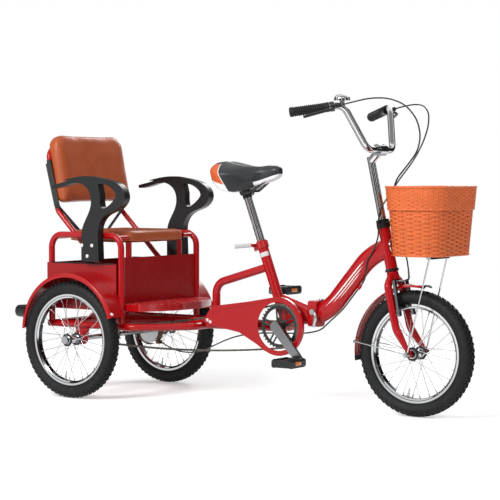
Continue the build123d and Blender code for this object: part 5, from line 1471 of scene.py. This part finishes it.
# ------------------------------------------------------------------------------------------------- handlebar
@dataclass
class Cockpit:
    """The ribbed grips on the handlebar."""

    grip_length: float = 0.127
    grip_r: float = 0.016
    bore_r: float = 0.0112

    def grips(self) -> None:
        """Two moulded grips with finger ribs and a rounded end."""
        for side, label in ((-1, "right"), (1, "left")):
            end, knee = place(892, side * 250, 969), place(1024, side * 148, 992)
            inward = (knee - end).normalized()
            base = end - inward * 0.004
            profile = [(0.0, 0.0), (0.0, 0.011), (0.002, self.grip_r - 0.001), (0.006, self.grip_r)]
            ribs = 15
            for rib in range(ribs):
                at = 0.012 + rib * (self.grip_length - 0.030) / ribs
                profile += [(at, self.grip_r - 0.0002), (at + 0.0012, self.grip_r - 0.0016),
                            (at + 0.0040, self.grip_r - 0.0016), (at + 0.0052, self.grip_r - 0.0002)]
            end_of_grip = self.grip_length
            profile += [(end_of_grip - 0.012, self.grip_r - 0.001), (end_of_grip - 0.009, self.grip_r),
                        (end_of_grip - 0.001, self.grip_r), (end_of_grip, self.grip_r - 0.002),
                        (end_of_grip, self.bore_r)]
            piece = Workpiece(f"grip_{label}_ribbed").lathe(profile, base, inward, 28)
            made = piece.hang(BLACK_RUBBER, "steering", smooth=30)
            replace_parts(made, "grips")

    def build(self) -> None:
        """Builds the cockpit."""
        self.grips()


# -------------------------------------------------------------------------------------------------- fittings
@dataclass
class Fittings:
    """Bolts, badges, stripes, lenses and other small parts on every body."""

    arm_face: float = 257.5
    tray_bow: float = 0.072
    lattice_margin: float = 0.011
    lattice_pitch: float = 0.030
    lattice_rib: tuple[float, float] = (0.0034, 0.0022)
    label_z: float = 0.503
    label_half_height: float = 0.0075
    label_r: float = 0.0177
    label_thick: float = 0.0002
    guard_face_y: float = -0.0562
    guard_ridge_r: float = 0.0905
    stripe_bands: tuple[tuple[float, float, float, float], ...] = (
        (7.5, 4.5, 0.0, 1.0),
        (-1.5, 3.2, 0.12, 0.9),
        (-8.5, 2.2, 0.24, 0.78),
    )
    stripe_steps: int = 22
    lamp_y: float = 0.2737
    lamp_z: float = 0.292

    def bolts(self) -> None:
        """White capped bolts on the armrests, and smaller ones on the mudguards and the chain guard."""
        caps = Workpiece("panel_caps")
        for side in (-1, 1):
            for ahead, height in ((34, 530), (79, 530), (58, 493)):
                caps.bolt(place(ahead, side * self.arm_face, height), Y * side, 0.0042, 0.0032)
        caps.hang(WHITE_CAP, "rear_frame")
        small = Workpiece("frame_bolts")
        for side in (-1, 1):
            small.bolt(place(197, side * 294, 300), Vector((0.75, side * 0.1, 0.6)), 0.0042, 0.003)
        for ahead, height in ((424, 276), (436, 270)):
            small.bolt(place(ahead, -56, height), -Y, 0.0036, 0.0025)
        small.hang(WHITE_CAP, "rear_frame")

    def edging(self) -> None:
        """Black edging along the tops of the side panels."""
        low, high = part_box("box_panels")
        piece = Workpiece("panel_edging")
        for side in (-1, 1):
            centre = Vector(((low.x + high.x) / 2 - 0.001, side * (high.y - 0.0007), 0.4662))
            piece.block(centre, (high.x - low.x - 0.040, 0.0046, 0.0046), None, 0.001)
        piece.hang(BLACK_RUBBER, "rear_frame")

    def tread(self) -> None:
        """The raised lattice on the foot tray: two crossing sets of low ribs that stop short of its rim."""
        low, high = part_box("foot_tray")
        margin, step = self.lattice_margin, 0.002
        bow, half = self.tray_bow, high.y
        bow_r = (half**2 + bow**2) / (2 * bow)

        def inside(spot: Vector) -> bool:
            """True where a place lies on the tray, clear of its rim."""
            front = high.x - bow_r + sqrt(max(bow_r**2 - spot.y**2, 0.0))
            return low.x + margin < spot.x < front - margin and abs(spot.y) < half - margin

        piece = Workpiece("tray_lattice")
        middle = Vector((high.x - bow, 0, high.z))
        for way in (-1, 1):
            along = Vector((1, way, 0)).normalized()
            across = Vector((-along.y, along.x, 0))
            for number in range(-18, 19):
                base = middle + across * (number + 0.5) * self.lattice_pitch
                run = [base + along * step * i for i in range(-320, 321)]
                kept = [p for p in run if inside(p)]
                if len(kept) > 4:
                    size = ((kept[-1] - kept[0]).length, *self.lattice_rib)
                    turn = Matrix.Rotation(way * pi / 4, 4, "Z")
                    piece.block((kept[0] + kept[-1]) / 2, size, turn, 0.0007)
        piece.hang(RED, "rear_frame")

    def sticker(self) -> None:
        """A blank silver label round the near side of the seat tube, below its clamp."""
        spot = CRANK_AXLE + SEAT_UP * ((self.label_z - CRANK_AXLE.z) / SEAT_UP.z)
        half, inner, outer = self.label_half_height, self.label_r, self.label_r + self.label_thick
        piece = Workpiece("seat_tube_label")
        piece.lathe([(-half, inner), (-half, outer), (half, outer), (half, inner)], spot, SEAT_UP, 40)
        geom = piece.bm.verts[:] + piece.bm.edges[:] + piece.bm.faces[:]
        bmesh.ops.bisect_plane(piece.bm, geom=geom, dist=1e-6, plane_co=spot - Y * 0.004, plane_no=Y,
                               clear_outer=True)
        piece.hang(LABEL, "rear_frame")

    def guard_ridge(self) -> None:
        """The raised line pressed into the chain guard, along its top and round its disc."""
        top = ((440, 292), (470, 312), (540, 326), (610, 337), (680, 352))
        points = [place(ahead, 0, height) for ahead, height in top]
        for turn in range(96, -70, -6):
            lean = radians(turn)
            points.append(CRANK_AXLE + Vector((cos(lean), 0, sin(lean))) * self.guard_ridge_r)
        for spot in points:
            spot.y = self.guard_face_y
        wire("chain_guard_ridge", points, 0.0013, RED, "rear_frame")

    def badge(self) -> None:
        """A blank oval badge with a chrome ring on the head tube."""
        ahead = Vector((STEER_UP.z, 0, -STEER_UP.x))
        spot = STEER_FOOT + STEER_UP * 0.078 + ahead * 0.0182
        for name, finish, profile in (
            ("head_badge_ring", CHROME, [(0.0, 0.0155), (0.0, 0.0215), (0.0022, 0.0212), (0.0030, 0.0185),
                                         (0.0022, 0.0155), (0.0, 0.0155)]),
            ("head_badge_field", BADGE_RED, [(0.0, 0.0), (0.0, 0.0158), (0.0014, 0.0158), (0.0022, 0.008),
                                             (0.0026, 0.0)]),
        ):
            piece = Workpiece(name).lathe(profile, Vector(), X, 40)
            turn = Matrix((ahead, Y, STEER_UP)).transposed().to_4x4()
            bmesh.ops.transform(piece.bm, verts=piece.bm.verts[:],
                                matrix=Matrix.Translation(spot) @ turn @ Matrix.Diagonal((1, 0.9, 1.22, 1)))
            piece.hang(finish, "front_frame")

    def stripes(self) -> None:
        """Plain tapering stripes along both sides of the main tube."""
        along_tube = ((884, 334), (930, 372), (968, 420), (1003, 462), (1030, 488))
        centre = [place(ahead, 0, height) for ahead, height in along_tube]
        for side, label in ((-1, "right"), (1, "left")):
            piece = Workpiece(f"tube_stripes_{label}")
            for lift, width, first, last in self.stripe_bands:
                count = self.stripe_steps
                previous = None
                for number in range(count + 1):
                    share = first + (last - first) * number / count
                    spot, along = self.bezier(centre, share)
                    up = Vector((-along.z, 0, along.x))
                    taper = min(1.0, 6 * number / count, 6 * (count - number) / count)
                    half = width / 2000 * max(taper, 0.08)
                    base = spot + up * (lift / 1000) + Y * side * 0.06
                    pair = [piece.bm.verts.new(base + up * half), piece.bm.verts.new(base - up * half)]
                    if previous:
                        piece.bm.faces.new((previous[0], pair[0], pair[1], previous[1]))
                    previous = pair
            made = piece.hang(STRIPE, "front_frame")
            wrap = made.modifiers.new("lay", "SHRINKWRAP")
            wrap.target = frame["nodes"]["front_frame"]
            wrap.wrap_method = "PROJECT"
            wrap.use_project_y = True
            wrap.use_negative_direction = side > 0
            wrap.use_positive_direction = side < 0
            wrap.offset = 0.0004
            baked = bpy.data.meshes.new_from_object(made.evaluated_get(bpy.context.evaluated_depsgraph_get()))
            made.modifiers.clear()
            made.data = baked

    @staticmethod
    def bezier(points: Sequence[Vector], share: float) -> tuple[Vector, Vector]:
        """Follows the smooth curve that these points control.

        Args:
            points: the control points.
            share: how far along the curve, from 0 to 1.

        Returns:
            The point there and the curve's direction.
        """
        ahead = min(share + 0.001, 1.0)

        def at(t: float) -> Vector:
            """Halves the polygon down to one point."""
            row = list(points)
            while len(row) > 1:
                row = [a.lerp(b, t) for a, b in zip(row, row[1:])]
            return row[0]

        return at(share), (at(ahead) - at(ahead - 0.002)).normalized()

    def pedals(self) -> None:
        """Rubber ridges on the treads and amber reflectors on their fronts and backs."""
        for label, body in (("right", "right_pedal"), ("left", "left_pedal")):
            low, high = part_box(f"pedal_{label}")
            middle = (low + high) / 2
            tread = Workpiece(f"pedal_ridges_{label}")
            lens = Workpiece(f"pedal_reflectors_{label}")
            for face in (-1, 1):
                for edge in (-1, 1):
                    x = middle.x + edge * ((high.x - low.x) / 2 - 0.0045)
                    for number in range(9):
                        y = low.y + 0.008 + number * (high.y - low.y - 0.016) / 8
                        z = middle.z + face * ((high.z - low.z) / 2 + 0.0002)
                        tread.block(Vector((x, y, z)), (0.007, 0.0045, 0.0036), None, 0.0008)
                x = middle.x + face * ((high.x - low.x) / 2 - 0.0002)
                lens.block(Vector((x, middle.y, middle.z)), (0.0016, 0.034, 0.012), None, 0.0005)
            tread.hang(BLACK_RUBBER, body)
            lens.hang(AMBER, body)

    def lamps(self) -> None:
        """Red lenses in the rear lamp housings."""
        low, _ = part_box("rear_lamps")
        for side, label in ((-1, "right"), (1, "left")):
            spot = Vector((low.x, side * self.lamp_y, self.lamp_z))
            profile = [(0.003, 0.0195), (-0.0006, 0.0195), (-0.0034, 0.0176), (-0.0052, 0.011),
                       (-0.0058, 0.0)]
            Workpiece(f"lamp_lens_{label}").lathe(profile, spot, X, 36).hang(RED_LENS, "rear_frame")

    def build(self) -> None:
        """Builds all the fittings."""
        self.bolts()
        self.edging()
        self.tread()
        self.sticker()
        self.guard_ridge()
        self.badge()
        self.stripes()
        self.pedals()
        self.lamps()


# ------------------------------------------------------------------------------------------- finishes on CAD
def dress_frame() -> None:
    """Gives every CAD node its finish."""
    RED.on("main_frame", "chassis", "side_rails", "back_frame", "mudguards", "bench_supports", "axle_hangers",
           "chain_guard", "front_frame", "fork", "front_mudguard")
    CLAMP.on("seat_clamp")
    DEEP_RED.on("box_panels")
    TRAY.on("foot_tray")
    BLACK_PLASTIC.on("armrests", "rear_lamps", "pedal_right", "pedal_left")
    BLACK_METAL.on("chainring", "locknut", "headset", "saddle_frame", "brake_levers")
    DRUM_BROWN.on("rear_brake")
    CHROME.on("stem", "handlebar", "seat_post", "bell", "basket_stays")
    CRANK_ALLOY.on("cranks")
    SILVER.on("hinge_lever", "hinge_pin", "front_axle", "rear_axle")
    DARK_SILVER.on("front_brake")
    BLACK_RUBBER.on("grips", "front_guard_trim")
    CABLE.on("handlebar_cables", "frame_cable", "rear_cable")
    STRAP.on("back_straps")
    LEATHER.on("bench_cushion", "back_cushion")
    WOVEN.on("basket")
    CHAIN_STEEL.on("chain")
    BLACK_RUBBER.on("front_tyre", "rear_right_tyre", "rear_left_tyre", "saddle")


# ----------------------------------------------------------------------------------------------------- stage
@dataclass
class Studio:
    """The pale floor, the soft lights and the camera."""

    floor_lift: float = 0.3
    floor_reach: tuple[float, float] = (1.0, 2.4)
    soft_light: float = 0.45
    card_azimuths: tuple[float, ...] = (-80, 8, 52, 100, 148, 235)
    card_distance: float = 3.4
    card_height: float = 1.0
    card_half_size: tuple[float, float] = (1.15, 1.9)

    @staticmethod
    def seen(n: Nodes) -> bpy.types.NodeSocket:
        """Tells the rays that show a surface from those that light others.

        Args:
            n: the nodes of the material or the world.

        Returns:
            1 for the camera's rays and for those through reflections and glass, and 0 for the rest.
        """
        path = n.add("LightPath")
        shown = n.math("MAXIMUM", path.outputs["Is Camera Ray"], path.outputs["Is Glossy Ray"])
        return n.math("MAXIMUM", shown, path.outputs["Is Transmission Ray"])

    def floor(self) -> None:
        """A wide pale floor that turns to plain white away from the tricycle."""
        bm = bmesh.new()
        bmesh.ops.create_grid(bm, x_segments=1, y_segments=1, size=60.0)
        mesh = bpy.data.meshes.new("floor")
        bm.to_mesh(mesh)
        bm.free()
        plane = bpy.data.objects.new("floor", mesh)
        bpy.context.scene.collection.objects.link(plane)
        made = bpy.data.materials.new("floor_pale")
        made.use_nodes = True
        n = Nodes(made.node_tree)
        n.tree.nodes.clear()
        spot = n.add("TexCoord").outputs["Object"]
        reach = n.add("VectorMath", {"operation": "LENGTH"}, in0=spot)
        share = n.ramp(reach.outputs[1], *self.floor_reach)
        seen = self.seen(n)
        pale = n.add("BsdfDiffuse", None, Color=n.mix(seen, (0.55, 0.55, 0.55), (0.93, 0.93, 0.93)))
        glow = n.math("MULTIPLY", seen, self.floor_lift)
        lift = n.add("Emission", None, Color=(1.0, 1.0, 1.0), Strength=glow)
        lifted = n.add("AddShader", None, in0=pale.outputs[0], in1=lift.outputs[0])
        white = n.add("Emission", None, Color=(1.0, 1.0, 1.0), Strength=1.0)
        mixed = n.add("MixShader", None, in0=share, in1=lifted.outputs[0], in2=white.outputs[0])
        out = n.tree.nodes.new("ShaderNodeOutputMaterial")
        n.tree.links.new(mixed.outputs[0], out.inputs[0])
        mesh.materials.append(made)

    def world(self) -> None:
        """White to the camera and in reflections, and a plain soft light everywhere else."""
        world = bpy.data.worlds.new("studio")
        bpy.context.scene.world = world
        world.use_nodes = True
        n = Nodes(world.node_tree)
        n.tree.nodes.clear()
        seen = self.seen(n)
        soft = n.add("Background", None, Color=(1.0, 1.0, 1.0), Strength=self.soft_light)
        white = n.add("Background", None, Color=(1.0, 1.0, 1.0), Strength=1.0)
        mixed = n.add("MixShader", None, in0=seen, in1=soft.outputs[0], in2=white.outputs[0])
        out = n.tree.nodes.new("ShaderNodeOutputWorld")
        n.tree.links.new(mixed.outputs[0], out.inputs[0])

    def lamp(self, name: str, spot: Vector, power: float, size: float) -> None:
        """Adds a soft square light that faces the tricycle.

        Args:
            name: the lamp's name.
            spot: where it stands.
            power: its power in watts.
            size: the side of the square.
        """
        light = bpy.data.lights.new(name, "AREA")
        light.energy = power
        light.size = size
        holder = bpy.data.objects.new(name, light)
        holder.location = spot
        holder.rotation_euler = (Vector((0, 0, 0.45)) - spot).to_track_quat("-Z", "Y").to_euler()
        bpy.context.scene.collection.objects.link(holder)

    def cards(self) -> None:
        """Dark cards that only reflections see, so that chrome has something to mirror."""
        made = bpy.data.materials.new("card_dark")
        made.use_nodes = True
        n = Nodes(made.node_tree)
        n.tree.nodes.clear()
        dark = n.add("Emission", None, Color=(0.02, 0.02, 0.02), Strength=1.0)
        out = n.tree.nodes.new("ShaderNodeOutputMaterial")
        n.tree.links.new(dark.outputs[0], out.inputs[0])
        for number, azimuth in enumerate(self.card_azimuths):
            stand = (Matrix.Rotation(radians(azimuth), 4, "Z")
                     @ Matrix.Translation((0, -self.card_distance, self.card_height))
                     @ Matrix.Rotation(pi / 2, 4, "X") @ Matrix.Diagonal((*self.card_half_size, 1, 1)))
            bm = bmesh.new()
            bmesh.ops.create_grid(bm, x_segments=1, y_segments=1, size=1.0, matrix=stand)
            mesh = bpy.data.meshes.new(f"card_{number}")
            bm.to_mesh(mesh)
            bm.free()
            mesh.materials.append(made)
            card = bpy.data.objects.new(f"card_{number}", mesh)
            card.visible_camera = False
            card.visible_diffuse = False
            card.visible_shadow = False
            card.visible_transmission = False
            bpy.context.scene.collection.objects.link(card)

    def camera(self) -> None:
        """Sets the camera in front of the tricycle's right side, just above the handlebar's middle height."""
        data = bpy.data.cameras.new("camera")
        data.lens = 118.95
        data.sensor_width = 36.0
        data.clip_end = 200.0
        holder = bpy.data.objects.new("camera", data)
        holder.location = (3.183, -4.618, 0.755)
        aim = Vector((-0.0171, 0.0, 0.5172)) - Vector(holder.location)
        holder.rotation_euler = aim.to_track_quat("-Z", "Y").to_euler()
        bpy.context.scene.collection.objects.link(holder)
        bpy.context.scene.camera = holder

    def build(self) -> None:
        """Sets the whole stage."""
        bpy.context.scene.view_settings.view_transform = "Standard"
        self.floor()
        self.world()
        self.cards()
        self.lamp("key", Vector((-0.6, -4.4, 3.2)), 210.0, 1.8)
        self.lamp("fill", Vector((3.6, -2.8, 2.4)), 45.0, 1.6)
        self.lamp("back", Vector((-1.0, 4.0, 3.0)), 90.0, 2.0)
        self.camera()


def main() -> None:
    """Builds each sub-assembly in turn."""
    logging.basicConfig(level=logging.INFO, format="%(message)s")
    steps: list[tuple[str, Callable[[], None]]] = [
        ("stage", Studio().build),
        ("frame finishes", dress_frame),
        ("front wheel", Wheel("front", "front_wheel").build),
        ("rear right wheel", Wheel("rear_right", "rear_axle").build),
        ("rear left wheel", Wheel("rear_left", "left_wheel").build),
        ("chain", ChainRun().build),
        ("basket", Basket().build),
        ("seating", Seating().build),
        ("cockpit", Cockpit().build),
        ("fittings", Fittings().build),
    ]
    for label, step in steps:
        step()
        log.info("built the %s", label)


if __name__ == "__main__":
    main()
